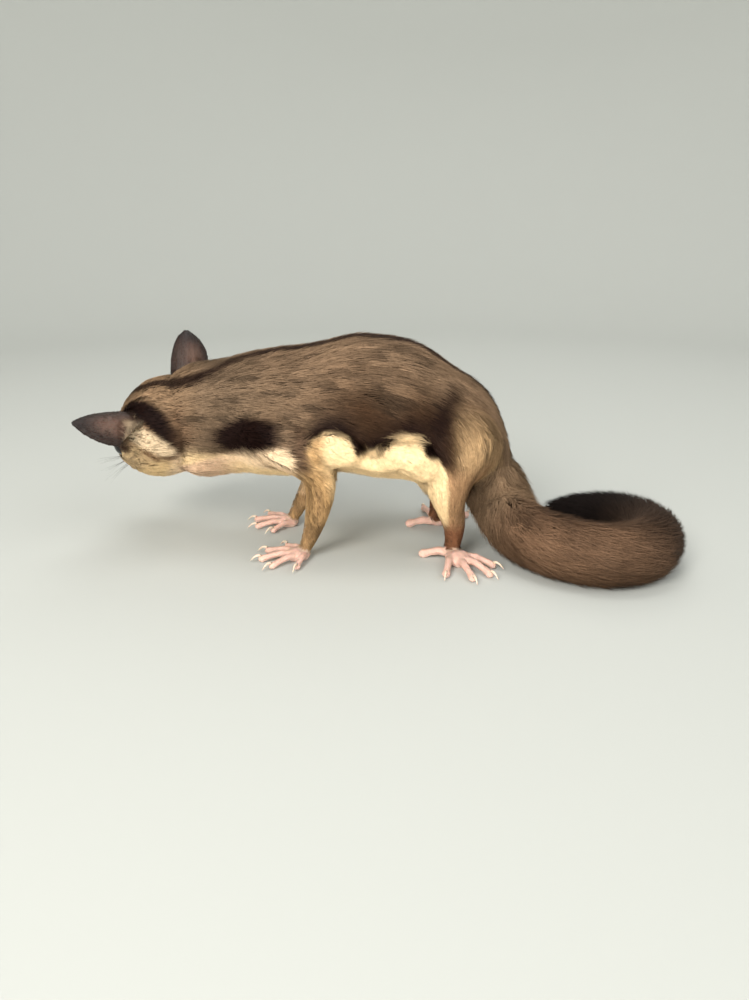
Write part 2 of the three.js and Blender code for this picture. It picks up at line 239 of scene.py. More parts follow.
# Smooth noise on a lattice, so that a pattern is the same at each run. Primes spread the
# lattice over the table, and each seed reads it from a place of its own.
noisePlan = {
    "tableSize": 65536, "primes": np.array([73856093, 19349663, 83492791]),
    "shift": 1000.5, "seedShift": 37.1, "seedStep": 977,
}  # fmt: skip
noiseTable = draws.random(noisePlan["tableSize"])


def softNoise(points, size, seed):
    cell = points / size + noisePlan["shift"] + noisePlan["seedShift"] * seed
    low = np.floor(cell).astype(np.int64)
    t = cell - low
    t = t * t * (3 - 2 * t)
    total = np.zeros(len(points))
    for corner in range(8):
        bits = np.array([corner & 1, corner >> 1 & 1, corner >> 2 & 1])
        at = low + bits
        key = np.bitwise_xor.reduce(at * noisePlan["primes"], axis=1) + seed * noisePlan["seedStep"]
        share = np.prod(np.where(bits, t, 1 - t), axis=1)
        total += share * noiseTable[key & (noisePlan["tableSize"] - 1)]
    return total * 2 - 1


# Skin: the flesh nodes joined into one surface, then sunk to the roots of the coat

skinPlan = {
    "voxel": 0.42,
    "closeCuts": 0.2,  # each node grows by this, so that the cuts between nodes close
    "triangles": 170000,
    "faceMiddle": 2, "faceReach": 24, "faceRadius": 34,  # where no triangles are taken away
    "feetHigh": 9, "feetEnd": 62, "keptWeight": 0.02,
    "smoothRounds": 18,
    "seamRounds": 120,
    "seamReach": 8,  # how far from a crease the skin is rounded, and from the one over the hip
    "hipReach": 13,
    "bareDepth": 0.15,
    "tailDepth": 0.7,  # at most, of the tail's radius
}  # fmt: skip
# What grows where: depth of the coat, length and width of its tufts in mm, tufts on a square
# millimetre of skin, and how far faceted shapes are smoothed.
coatPlan = {
    "head": {"depth": 1.4, "length": 3.6, "width": 0.2, "density": 12, "smooth": 0.5},
    "nose": {"depth": 0, "length": 0, "width": 0.1, "density": 0, "smooth": 0.15},
    "ear": {"depth": 0, "length": 0.9, "width": 0.1, "density": 3.4, "smooth": 0.2},
    "neck": {"depth": 2.6, "length": 6.6, "width": 0.26, "density": 7.4, "smooth": 1},
    "chest": {"depth": 2.8, "length": 7.2, "width": 0.28, "density": 6.6, "smooth": 1},
    "loin": {"depth": 2.9, "length": 7.8, "width": 0.28, "density": 6.2, "smooth": 1},
    "rump": {"depth": 3.0, "length": 8.0, "width": 0.28, "density": 6.6, "smooth": 1},
    "tail": {"depth": 5.6, "length": 11.0, "width": 0.3, "density": 12, "smooth": 1},
    "foreleg": {"depth": 1.4, "length": 4.2, "width": 0.23, "density": 7.4, "smooth": 1},
    "hindleg": {"depth": 1.9, "length": 5.4, "width": 0.25, "density": 7.2, "smooth": 1},
    "membrane": {"depth": 0.7, "length": 2.6, "width": 0.2, "density": 14, "smooth": 1},
    "forefoot": {"depth": 0, "length": 1.0, "width": 0.1, "density": 2.2, "smooth": 0.2},
    "hindfoot": {"depth": 0, "length": 1.0, "width": 0.1, "density": 2.2, "smooth": 0.2},
}
# Where the coat is shorter: the share left at the start of a span, which ends where it is whole
shortCoat = {
    "legDepth": (0.36, 7, 31), "legLength": (0.4, 7, 31),  # height above the floor
    "faceDepth": (0.24, 19, -3), "faceLength": (0.3, 19, -3),  # forward in the head
    "eyeDepth": (0.12, 4.6, 9), "eyeLength": (0.45, 5, 10),  # from the middle of the eye
}  # fmt: skip
partNames = list(coatPlan)


def shortened(name, value):
    share, start, end = shortCoat[name]
    return share + (1 - share) * ramp(value, start, end)


def partOf(node):
    stem = node.split("_")[0]
    return partNames.index(stem)


fleshNodes = sorted(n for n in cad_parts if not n.startswith("eye") and "claw" not in n)
surfacePoints, surfaceFaces, surfaceParts, surfaceNodes = [], [], [], []
for number, node in enumerate(fleshNodes):
    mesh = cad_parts[node].data
    mesh.calc_loop_triangles()
    corners = readArray(mesh.loop_triangles, "vertices", 3, np.int32)
    surfaceFaces.append(corners + sum(map(len, surfacePoints)))
    surfacePoints.append(readArray(mesh.vertices, "co", 3))
    surfaceParts += [partOf(node)] * len(corners)
    surfaceNodes += [number] * len(corners)
coatSurface = BVHTree.FromPolygons(
    np.concatenate(surfacePoints).tolist(), np.concatenate(surfaceFaces).tolist()
)
surfaceParts = np.array(surfaceParts)
surfaceNodes = np.array(surfaceNodes)

copies = [newPiece("skin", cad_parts[node].data.copy()) for node in fleshNodes]
bpy.ops.object.select_all(action="DESELECT")
for copy in copies:
    copy.select_set(True)
bpy.context.view_layer.objects.active = copies[0]
bpy.ops.object.join()
skin = bpy.context.object
skin.name = "skin"
bpy.ops.object.mode_set(mode="EDIT")
bpy.ops.mesh.select_all(action="SELECT")
bpy.ops.mesh.remove_doubles(threshold=0.00001)
bpy.ops.transform.shrink_fatten(value=skinPlan["closeCuts"] * mm)
bpy.ops.object.mode_set(mode="OBJECT")
applyModifier(skin, "REMESH", mode="VOXEL", voxel_size=skinPlan["voxel"] * mm)
print("skin closed over the cuts:", len(skin.data.polygons), "faces")


def nearestParts(points):
    # The part of the body and the node of the coat's outer surface by each point.
    found = [coatSurface.find_nearest(Vector(p)) for p in (points * mm).tolist()]
    faces = np.array([f[2] for f in found])
    return surfaceParts[faces], surfaceNodes[faces]


# Thin out the faces that the coat hides, and keep those of the face, ears and feet
points = readArray(skin.data.vertices, "co", 3).astype(float) / mm
thin = np.ones(len(points))
head = inHead(points - bodyZero)
onFace = np.abs(head[:, 0] - skinPlan["faceMiddle"]) < skinPlan["faceReach"]
onFace &= np.linalg.norm(head[:, 1:], axis=1) < skinPlan["faceRadius"]
onFeet = (points[:, 2] < skinPlan["feetHigh"]) & (points[:, 0] - bodyZero[0] < skinPlan["feetEnd"])
thin[onFace | onFeet] = skinPlan["keptWeight"]
group = skin.vertex_groups.new(name="hidden")
for level in np.unique(thin):
    group.add(np.flatnonzero(thin == level).tolist(), float(level), "REPLACE")
startTriangles = 2 * len(skin.data.polygons)
if startTriangles > skinPlan["triangles"]:
    applyModifier(
        skin,
        "DECIMATE",
        ratio=skinPlan["triangles"] / startTriangles,
        vertex_group="hidden",
        vertex_group_factor=1.0,
    )
applyModifier(skin, "TRIANGULATE")
skin.vertex_groups.clear()
print("skin thinned:", len(skin.data.polygons), "triangles")

pairs = readArray(skin.data.edges, "vertices", 2, np.int32)
neighbourCount = np.bincount(pairs.ravel(), minlength=len(skin.data.vertices))


def relax(values, rounds, share=0.5):
    # Each round, a vertex's value moves towards the mean of its neighbours.
    columns = values.reshape(len(values), -1).astype(float).copy()
    a, b = pairs.T
    share = np.broadcast_to(np.asarray(share, float), len(columns))[:, None]
    for _ in range(rounds):
        total = np.stack(
            [np.bincount(a, c[b], len(c)) + np.bincount(b, c[a], len(c)) for c in columns.T], 1
        )
        columns += share * (total / np.maximum(neighbourCount, 1)[:, None] - columns)
    return columns.reshape(values.shape)


def relaxShape(places, rounds, share):
    # Evens out facets and keeps the size: each step inwards is followed by one outwards.
    for _ in range(rounds):
        places = relax(places, 1, share)
        places = relax(places, 1, -1.06 * share)
    return places


def meshNormals(points):
    skin.data.vertices.foreach_set("co", ((points + bodyZero) * mm).astype(np.float32).ravel())
    skin.data.update()
    return readArray(skin.data.vertex_normals, "vector", 3).astype(float)


points = readArray(skin.data.vertices, "co", 3).astype(float) / mm
part, node = nearestParts(points)
points = points - bodyZero


def perPart(field):
    return np.array([coatPlan[name][field] for name in partNames], float)[part]


def isPart(*names):
    return np.isin(part, [partNames.index(name) for name in names])


points = relaxShape(points, skinPlan["smoothRounds"], 0.5 * perPart("smooth"))
outer = points - meshNormals(points) * skinPlan["closeCuts"]

# Creases where the head, the trunk and the legs meet are rounded out, as under a thick coat
a, b = pairs.T
furred = isPart("head", "neck", "chest", "loin", "rump", "foreleg", "hindleg")
seamTree = treeOf(outer[a[(part[a] != part[b]) & furred[a] & furred[b]]])
seamGap = np.array([seamTree.find(p)[2] for p in outer.tolist()])
hindReach = np.where(isPart("hindleg", "rump"), skinPlan["hipReach"], skinPlan["seamReach"])
seamShare = np.where(isPart("hindleg", "rump"), 0.5, 0.3) * furred * ramp(seamGap / hindReach, 1, 0.2)
outer = relax(outer, skinPlan["seamRounds"], seamShare)
head = inHead(outer)
sideSign = np.where(head[:, 1] > 0, 1.0, -1.0)
ownSide = np.stack([np.ones(len(head)), sideSign, np.ones(len(head))], 1)

# Place of each vertex along the body and around it
station = np.zeros(len(outer), int)
for number, name in enumerate(fleshNodes):
    first, last = lengthsOfBody.get(name, (0, 10.5))
    here = node == number
    station[here] = alongBody(outer[here], first, last)
row = sampleRows[station]
fromLine = outer - samplePoints[station]
radius = np.linalg.norm(fromLine, axis=1)
around = np.degrees(
    np.arctan2(dot(fromLine, sampleSide[station]), dot(fromLine, sampleUp[station]))
)
eyeGap = np.linalg.norm(head * ownSide - headPlan["eye"], axis=1)

# Coat depth over the body: shallow on the face and down the legs, deep on the tail
onLeg = isPart("foreleg", "hindleg")
byEye = shortened("eyeDepth", eyeGap)
depth = perPart("depth")
depth = np.where(onLeg, depth * shortened("legDepth", outer[:, 2]), depth)
depth = np.where(isPart("head"), depth * shortened("faceDepth", head[:, 0]) * byEye, depth)
depth = relax(depth, 14)
depth = np.where(isPart("nose", "ear"), np.minimum(depth, skinPlan["bareDepth"]), depth)
depth = np.where(isPart("head"), depth * byEye, depth)
depth = np.minimum(depth, np.where(isPart("tail"), skinPlan["tailDepth"] * radius, depth))
onTail = relax(isPart("tail").astype(float), 10)[:, None]
inwards = unit(-(1 - onTail) * meshNormals(outer) - onTail * unit(fromLine))
points = outer + inwards * depth[:, None]
points = relax(points, 3, 0.3 * perPart("smooth"))

# Lie of the coat: to the rear along the body, back over the head to the neck, down the front
# legs, and over rump and thigh to the heel. Places and directions are those of the side of
# positive y, and the ear's is in the head's own axes.
liePlan = {
    "sag": 0.22,  # how far it leans down the flanks
    "neck": np.array([-18, 0, 40.0]), "heel": np.array([46, 20, 4]), "thighShare": 0.85,
    "foreleg": (0.12, 0, -1.0), "membrane": (0.8, 0, -0.5), "forefoot": (-1, 0, -0.1),
    "hindfoot": np.array([0.4, 0.9, -0.1]), "ear": np.array([-0.1, 0.78, 0.62]),
}  # fmt: skip
bodySide = np.stack([np.ones(len(outer)), np.sign(outer[:, 1]), np.ones(len(outer))], 1)
lie = sampleAhead[station].copy()
lie[:, 2] -= liePlan["sag"] * np.abs(np.sin(np.radians(around))) * (row < 9)
toNeck = unit(liePlan["neck"] - outer)
overHead = mix(-headForward - 0.18 * headUp, toNeck, ramp(head[:, 0], 7, -7)[:, None])
lie[isPart("head")] = overHead[isPart("head")]
downLeg = ramp(outer[:, 2], 34, 22) * isPart("foreleg")
lie = mix(lie, liePlan["foreleg"], downLeg[:, None])
onThigh = ramp(outer[:, 0], 34, 48) * ramp(np.abs(around), 25, 75) * ramp(outer[:, 0], 64, 54)
downThigh = np.maximum(liePlan["thighShare"] * onThigh, ramp(outer[:, 2], 40, 30))
downThigh *= isPart("rump", "hindleg")
lie = mix(lie, unit(liePlan["heel"] * bodySide - outer), downThigh[:, None])
lie[isPart("membrane")] = liePlan["membrane"]
lie[isPart("forefoot")] = liePlan["forefoot"]
lie[isPart("hindfoot")] = (liePlan["hindfoot"] * bodySide)[isPart("hindfoot")]
lie[isPart("ear")] = (liePlan["ear"] * ownSide @ headAxes)[isPart("ear")]


def earPlace(head):
    # Turns points of the head into the frame of the ear on their side: depth, across and along it.
    placed = np.empty_like(head)
    for pose in earPoses.values():
        side = pose["side"]
        turn = (
            Euler((0, 0, math.radians(-side * pose["swing"]))).to_matrix()
            @ Euler((math.radians(-side * pose["lean"]), 0, 0)).to_matrix()
            @ Euler((0, 0, math.radians(side * earPlan["facing"]))).to_matrix()
        )
        here = (head[:, 1] > 0) == (side > 0)
        own = (head[here] - np.array(pose["place"])) @ np.array(turn)
        along = own[:, 2] / pose["length"]
        taper = np.maximum(1 - np.clip(along, 0, 1) ** pose["late"], 0.02) ** pose["blunt"]
        half = earPlan["halfWidth"] * taper
        skew = earPlan["skew"]
        outwards = own[:, 1] * side / half
        across = (np.sqrt(np.maximum(1 + 4 * skew * outwards, 0.01)) - 1) / (2 * skew)
        placed[here] = np.stack([own[:, 0], across, along], 1)
    return placed


def earCoat(head, ear):
    # How far the coat of the head covers a point of the ear: less on its outer half.
    outerHalf = ramp(ear[:, 1], -0.1, 0.2)
    reach = ramp(np.abs(head[:, 1]) + head[:, 2], 25.2, 23.4)
    return np.maximum(outerHalf * reach, ramp(ear[:, 2], 0.13, 0.05) * (1 - outerHalf))


ear = earPlace(head)
earBase = isPart("ear") * earCoat(head, ear)
lie = (1 - earBase[:, None]) * lie - earBase[:, None] * headForward
lie = relax(unit(lie), 60, np.where(isPart("hindleg", "rump"), 0.5, 0.2))

# Fine forms of the face, in the head's own frame: nostrils, lips, lids, and the ear's folds
facePlan = {
    "lipFront": 17.75, "lipUp": -5.2, "lipSlope": 4, "lipBack": 8.5,  # the line of the mouth
    "lipDepth": 0.55, "lipWidth": 0.5, "lipRoll": 0.22, "splitLip": 0.35, "splitWidth": 0.3,
    "nostril": (23.0, 1.15, -0.7), "nostrilDepth": 0.9, "nostrilWidth": 0.55,
    "wing": (-0.9, 0, 0.35), "wingDepth": 0.35, "wingWidth": 0.6,  # the slit beside the nostril
    "lidThick": 0.28, "lidOpen": 49, "lidNarrow": 6, "socketEdge": 64,  # the last three in degrees
    "lidReach": 6.5, "lidSpan": 110, "lidSoft": 9, "lidGap": 0.1, "lidEdge": 0.5,
    "gaze": (0.42, 0.86, 0.3),  # forward, to its own side, and up
}  # fmt: skip
normals = meshNormals(points)
head = inHead(points)
lipFall = math.tan(math.radians(facePlan["lipSlope"]))
lipLine = facePlan["lipUp"] - lipFall * (head[:, 0] - facePlan["lipFront"])
lipGroove = facePlan["lipDepth"] * bell(head[:, 2] - lipLine, facePlan["lipWidth"])
lipGroove *= ramp(head[:, 0], facePlan["lipBack"], facePlan["lipBack"] + 3) * isPart("head", "nose")
lipRoll = facePlan["lipRoll"] * bell(np.abs(head[:, 2] - lipLine) - 0.9, 0.5) * (lipGroove > 0.001)
splitLip = facePlan["splitLip"] * bell(head[:, 1], facePlan["splitWidth"])
splitLip *= ramp(head[:, 0], 19, 21) * ramp(-head[:, 2], 1.6, 2.4)
splitLip *= ramp(head[:, 2], lipLine - 0.3, lipLine + 0.3)
toNostril = head - facePlan["nostril"] * ownSide
nostril = bell(np.linalg.norm(toNostril * (0.6, 0.75, 1.1), axis=1), facePlan["nostrilWidth"])
toWing = (toNostril - facePlan["wing"]) * (0.5, 1, 1.6)
nostrilWing = bell(np.linalg.norm(toWing, axis=1), facePlan["wingWidth"])
carved = splitLip + facePlan["nostrilDepth"] * nostril + facePlan["wingDepth"] * nostrilWing
sink = lipGroove - lipRoll + carved * isPart("head", "nose")
points = points - normals * sink[:, None]

# Lids: the edge of the eye socket is drawn over the eyeball, more above and below than at the
# corners, and rounded
for side, sign in (("left", 1.0), ("right", -1.0)):
    middle = eyeMiddle[side]
    gaze = unit(facePlan["gaze"] * np.array([1, sign, 1]) @ headAxes)
    across = unit(headForward - gaze * dot(headForward, gaze))
    up = np.cross(gaze, across) * sign
    offset = points - middle
    reach = np.linalg.norm(offset, axis=1)
    angle = np.degrees(np.arccos(np.clip(dot(unit(offset), gaze), -1, 1)))
    turn = np.arctan2(dot(offset, up), dot(offset, across))
    near = (reach < facePlan["lidReach"]) & (angle < facePlan["lidSpan"]) & isPart("head")
    lidAngle = facePlan["lidOpen"] - facePlan["lidNarrow"] * np.sin(turn) ** 2
    pull = 1 - ramp(angle, facePlan["socketEdge"], 100)
    newAngle = np.maximum(angle - (facePlan["socketEdge"] - lidAngle) * pull, lidAngle * 0.98)
    newAngle = np.radians(np.where(near, newAngle, angle))
    roundUp = bell(np.degrees(newAngle) - lidAngle - 4, facePlan["lidSoft"])
    lidReach = np.clip(reach, headPlan["eyeRadius"] + facePlan["lidGap"], None)
    outside = reach > headPlan["eyeRadius"] + 0.22
    furthest = headPlan["eyeRadius"] + facePlan["lidEdge"] + (1 - pull) * 3
    lidReach = np.where(outside, np.minimum(lidReach, furthest), lidReach)
    lidReach += facePlan["lidThick"] * roundUp * outside
    ring = unit(np.cos(turn)[:, None] * across + np.sin(turn)[:, None] * up)
    moved = middle + lidReach[:, None] * (
        np.cos(newAngle)[:, None] * gaze + np.sin(newAngle)[:, None] * ring
    )
    points = np.where(near[:, None], moved, points)
    eyes[side + "Gaze"] = gaze
normals = meshNormals(points)
print("skin sunk under the coat, face and lids formed")

# Ear folds: faint ridges across the inside and a thicker rim
earAcross, earAlong = np.abs(ear[:, 1]), ear[:, 2]
earFront = dot(normals, headForward) > 0
ridges = earPlan["ridge"] * np.sin(earAlong * earPlan["ridgeTurns"])
ridges *= ramp(earAlong, 0.15, 0.3) * ramp(1 - earAlong, 0.15, 0.35)
ridges *= earFront * (earAcross < earPlan["ridgeReach"])
rim = earPlan["rim"] * bell(earAcross - earPlan["rimAt"], earPlan["rimWidth"])
earSwell = (ridges + rim) * isPart("ear")
points = points + normals * earSwell[:, None]
normals = meshNormals(points)
lie = unit(lie - normals * dot(lie, normals)[:, None])

# Streaks of lighter and darker hairs that follow the lie: noise is averaged down each strand by
# steps that double in length
streakPlan = {"step": 1.0, "doublings": 3, "fine": 0.75, "broad": 3.2}
skinTree = treeOf(points)


def nearestOnSkin(places):
    return np.array([skinTree.find(p)[1] for p in places.tolist()])


down = nearestOnSkin(points + lie * streakPlan["step"])
fineStreak = softNoise(points, streakPlan["fine"], 12)
broadStreak = softNoise(points, streakPlan["broad"], 13)
for _ in range(streakPlan["doublings"]):
    fineStreak, broadStreak = fineStreak + fineStreak[down], broadStreak + broadStreak[down]
    down = down[down]
streaks = fineStreak / fineStreak.std() + 0.7 * broadStreak / broadStreak.std()
print("streaks run")


# Markings, the same for the skin and the coat. Each is a soft mask in the body's or the
# head's own millimetres, the same on both sides but for the stripe along the twisted neck.

coatColors = {
    "back": "#725D49", "flankAndShade": "#332011", "shoulder": "#635241", "crown": "#856C53",
    "black": "#180C09", "dark": "#2A1C14", "stripe": "#231712", "cream": "#EFD0A1",
    "chest": "#F0D2AE", "cheek": "#C2A67F", "cheekFoldBrownAndShade": "#62452F", "muzzle": "#A38C74",
    "arm": "#5A4636", "forearm": "#B08C60", "thigh": "#9C805E", "shank": "#937354",
    "ankle": "#6A4732", "tailRoot": "#6D5945", "tailMiddle": "#5E4837", "tailEnd": "#382C24",
    "tailTip": "#15100E", "ear": "#322621", "earPinkAndHighlight": "#5B463C", "earTip": "#201917",
    "nose": "#C48F86", "footPink": "#CFA898", "footPad": "#D9B8AA", "lid": "#1A1311",
    "lip": "#8A5F55", "jawWithPaintedLight": "#EECD9A", "footHair": "#C8AE98", "throat": "#CFAE90",
    "neckSide": "#5C4634", "band": "#DAC2A1", "earBase": "#877661",
}  # fmt: skip
coatColors = {name: linear(value) for name, value in coatColors.items()}


def nearLine(points, line, halfWidths, soft):
    # 1 within half the width of a line of points, 0 beyond its soft edge.
    line = np.asarray(line, float)
    halfWidths = np.broadcast_to(np.asarray(halfWidths, float), len(line))
    best = np.full(len(points), -np.inf)
    for i in range(len(line) - 1):
        step = line[i + 1] - line[i]
        t = np.clip((points - line[i]) @ step / (step @ step), 0, 1)
        gap = np.linalg.norm(points - line[i] - t[:, None] * step, axis=1)
        best = np.maximum(best, mix(halfWidths[i], halfWidths[i + 1], t) - gap)
    return ramp(best, -soft, soft)


# Height of the edge between the flank, dark in its fur and in painted shade, and the cream underside, along
# the body
creamEdge = np.array([
    (-42, 24), (-35, 27), (-30, 29), (-25, 30.8), (-20, 32), (-14, 34), (-8, 35.8),
    (-3, 36.6), (0, 35), (2, 33.3), (3.4, 35.6), (5.2, 38.5), (8.4, 40.4), (11.6, 40.8),
    (14.7, 39.6), (16.3, 36.8), (17.6, 33.9), (20.2, 34.2), (22.8, 35.6), (25.2, 36.4),
    (27.1, 37.8), (29, 39.8), (31.4, 40.6), (33.9, 39.4), (35.7, 36.4), (37.3, 33.8),
    (40.2, 32.9), (42.6, 29), (44, 22), (44.4, 14),
])  # fmt: skip
# The stripe down the back: row, degrees round from the top, and half its width
backStripe = np.array([
    (0.2, -17, 1.6), (0.66, -22, 1.6), (1.0, -25, 1.6), (1.41, -31, 1.6), (1.71, -33, 1.6),
    (1.96, -30, 1.7), (2.18, -27, 1.7), (2.35, -23, 1.7), (2.54, -20, 1.8), (2.73, -15, 1.8),
    (2.94, -12, 1.9), (3.4, -8, 2), (4.8, -5, 2.3), (6.5, -2, 2.4), (8.5, 0, 2), (10.5, 0, 1.6),
])  # fmt: skip
# The dark fold in front of the thigh: height, place along the body and half its width
thighFold = np.array([
    (30, 42, 1.2), (33.4, 40.2, 2), (37.4, 38.2, 3.8), (42.8, 39.6, 4), (47.2, 42.4, 3.2),
    (51.7, 44.9, 2.2), (56, 47.5, 1),
])  # fmt: skip


def paint(q, head, row, around, radius, where, ear, earFront):
    # where(name, ...) says which points belong to those parts of the body.
    color = np.tile(coatColors["back"], (len(q), 1))

    def lay(name, mask):
        color[:] = mix(color, coatColors[name], np.clip(mask, 0, 1)[:, None])

    sideways = np.abs(q[:, 1])
    x, z = q[:, 0], q[:, 2]
    ragged = softNoise(q, 2.2, 3)
    broad = softNoise(q, 9, 5)
    lay("shoulder", ramp(x, -2, -18) * 0.8)
    # Flank: darker fur down the sides, with painted shade added the lower it lies on the side
    lay("flankAndShade", ramp(np.abs(around) + 16 * broad, 24, 86) * ramp(x, -4, 20) * 0.92)
    thigh = ramp(x, 43.5, 47.5) * ramp(np.abs(around), 30, 65) * (1 - 0.75 * ramp(z, 39, 47))
    lay("thigh", where("rump", "hindleg") * thigh)
    foldX, foldHalf = (np.interp(z, thighFold[:, 0], thighFold[:, i]) for i in (1, 2))
    fold = ramp(np.abs(x - foldX) + 0.9 * ragged, foldHalf + 2, foldHalf - 1.6)
    lay("black", fold * ramp(z, 30, 33) * ramp(z, 57, 50) * ramp(sideways, 6, 12) * 0.93)
    # Cream underside, with a black edge above it along the membrane
    rise = z - np.interp(x, creamEdge[:, 0], creamEdge[:, 1]) + 0.35 * ragged
    nearEdge = ramp(x, 1, 6) * ramp(x, 45, 41)
    # Darker band just above the cream edge: darker fur with painted shade on the lower flank
    lay("dark", ramp(rise, 11, 3) * nearEdge * 0.55)
    lay("black", nearEdge * ramp(rise, 5.6, 1.4) * where("chest", "loin", "rump", "membrane") * 0.92)
    trunk = where("neck", "chest", "loin", "rump", "membrane", "foreleg", "hindleg")
    under = ramp(rise, 0.8, -0.9) * trunk * (z > 12)
    lay("chest", under * ramp(x, 6, -2))
    lay("cream", under * ramp(x, -2, 6) * ramp(x, 46.5, 43.5))
    belly = trunk * ramp(sideways, 13, 9) * ramp(z, 36, 30) * ramp(x, 50, 44)
    lay("cream", belly * where("neck", "chest", "loin", "rump", "membrane"))
    lay("throat", under * ramp(x, -16, -25))
    # Oval black patch behind the cheek, over the shoulder
    oval = np.sqrt(((x + 13.6) / 10.6) ** 2 + ((z - 38.6 - 0.12 * (x + 13.6)) / 5.1) ** 2)
    lay("black", ramp(oval + 0.1 * ragged, 1.16, 0.84) * ramp(sideways, 9, 12) * ramp(x, 0, -6))
    # Brown upper arm between chest and membrane, then the pale forearm
    fore = where("foreleg")
    elbow = np.maximum(fore, where("membrane", "loin", "chest") * ramp(z, 41.5, 39))
    lay("forearm", elbow * under * ramp(x, 10.6, 6.6) * ramp(x, 1.5, 3.5) * 0.9)
    arm = ramp(x, -0.8, 0.9) * ramp(x + (z - 36) * 0.15, 4.6, 3)
    lay("arm", fore * arm * ramp(z, 26, 31))
    lay("forearm", fore * ramp(z, 31, 27) * ramp(x, 12, 9) * (0.75 + 0.25 * broad))
    lay("arm", fore * bell(x - 6.5, 1.5) * ramp(z, 27, 22) * 0.35)
    hind = where("hindleg")
    shin = 42.2 + np.clip(27 - z, 0, 20) * 0.06
    lay("cream", hind * ramp(z, 31, 28) * ramp(x, shin + 0.6, shin - 0.6))
    lay("shank", hind * ramp(z, 32, 27) * ramp(x, shin - 0.4, shin + 1.2))
    lay("ankle", hind * ramp(z, 15, 9))
    lay("footHair", where("forefoot", "hindfoot"))
    # Black stripe from between the eyes down the middle of the back
    turn, half = (np.interp(row, backStripe[:, 0], backStripe[:, i]) for i in (1, 2))
    off = np.abs(np.radians(around - turn) * radius) + 0.35 * ragged
    lay("stripe", where("neck", "chest", "loin", "rump") * ramp(off, half + 0.9, half - 0.7) * 0.93)
    # Tail, browner and then black towards its end
    tail = where("tail")
    lay("tailRoot", tail)
    lay("tailMiddle", tail * ramp(row, 12, 14.5))
    lay("tailEnd", tail * ramp(row + 0.4 * broad, 16, 18.2))
    lay("tailTip", tail * ramp(row + 0.4 * broad, 18.6, 20))
    # Head
    f, l, u = head[:, 0], np.abs(head[:, 1]), head[:, 2]
    onHead = where("head", "nose", "ear")
    nearHead = np.maximum(onHead, where("neck"))
    mirror = np.stack([f, l, u], 1)
    lay("crown", onHead)
    lay("crown", where("neck") * ramp(x, -26, -36) * ramp(z, 40, 46) * 0.8)
    lay("cheek", onHead * ramp(u + 0.4 * ragged, 3.5, 0.5) * ramp(f, -9, -4))
    lay("muzzle", onHead * ramp(f, 12.5, 16.5))
    side = ramp(f, -7, -11) * ramp(f, -24, -18) * ramp(u, 6, 2) * ramp(u + 0.4 * f, -15, -12)
    lay("neckSide", nearHead * side * 0.75)
    # Pale jaw, its cream lightened further as painted light from below
    lay("jawWithPaintedLight", onHead * ramp(u + 0.5 * ragged, -3.5, -6.5) * ramp(f, 21, 19) * ramp(f, -9, -4))
    lay("chest", onHead * ramp(u + 0.5 * ragged + 0.25 * f, -9.5, -12))
    lay("chest", onHead * ramp(u, -2.2, -3.6) * ramp(f, 8, 13) * ramp(l, 1, 3) * 0.75)
    patch = [(-3, 8.3, 11.5), (-6.3, 8.4, 11.3), (-10.6, 9.4, 9.5), (-12.6, 9.5, 7.5),
             (-14.6, 9.9, 3.9), (-14.6, 10.7, 0), (-13.3, 11.2, -3.2)]  # fmt: skip
    patchHalf = (1.4, 2.3, 3.2, 3.3, 3.2, 2.6, 1.2)
    lay("black", nearHead * nearLine(mirror, patch, patchHalf, 0.7))
    spot = [(-15.6, 9.6, -1.5), (-14.5, 10.1, -4.8), (-13.6, 10.2, -7.8)]
    lay("dark", nearHead * nearLine(mirror, spot, (2, 2.3, 1.6), 1.3) * 0.8)
    band = [(-6, 12.6, 8.2), (-5.9, 13.6, 5.8), (-7.9, 13.5, 3.2), (-9.5, 13.1, 0.2),
            (-10.5, 12.5, -3), (-11, 12, -4.8)]  # fmt: skip
    lay("band", nearHead * nearLine(mirror, band, (2.4, 2.8, 3.1, 2.9, 2.6, 1.8), 0.7))
    # Browner fur in the fold behind the cheek, darkened further as painted shade in the fold
    cheekFoldBrownAndShade = [(-5, 14.4, -0.2), (-5.8, 14, -1.9), (-5.9, 13.7, -3.8), (-5.2, 13.4, -5.4)]
    lay("cheekFoldBrownAndShade", onHead * nearLine(mirror, cheekFoldBrownAndShade, (0.6, 1.1, 1.2, 0.9), 0.6) * 0.9)
    eyeBar = [(13, 6.4, 1.8), (7.4, 10, 3.8), (2.5, 12, 5), (-2, 11.6, 7.6)]
    lay("dark", onHead * nearLine(mirror, eyeBar, (1.2, 4.7, 2.6, 1.6), 1.1) * 0.95)
    lay("dark", onHead * nearLine(mirror, [(7.4, 10, 3.8), (0.8, 14, 2.4)], (3.4, 1.1), 0.8) * 0.9)
    middleStripe = [(16.5, 0), (12, 0), (7, 0), (1, 0.3), (-4, 1.4), (-8, 2.2), (-10.8, 1.6), (-13, 0.1),
                    (-15.2, -1.1), (-19.7, -0.4), (-22.8, -0.9), (-25.3, -2.9), (-27.4, -4.9)]  # fmt: skip
    stripeHalf = (0.6, 1.1, 1.8, 1.9, 1.8, 1.7, 1.6, 1.6, 1.6, 1.6, 1.6, 1.5, 1.4)
    lay("stripe", nearHead * nearLine(head[:, :2], middleStripe, stripeHalf, 0.6) * ramp(u, 0, 3) * 0.93)
    # Ears: dark thin skin, pinker down the middle of the hollow with a painted highlight along it, with the
    # coat on their bases
    across, along = ear[:, 1], ear[:, 2]
    bareEar = where("ear") * (1 - earCoat(head, ear))
    lay("earBase", where("ear") * ramp(across, -0.1, 0.2))
    lay("dark", where("ear") * ramp(across, 0.1, -0.2))
    lay("ear", bareEar)
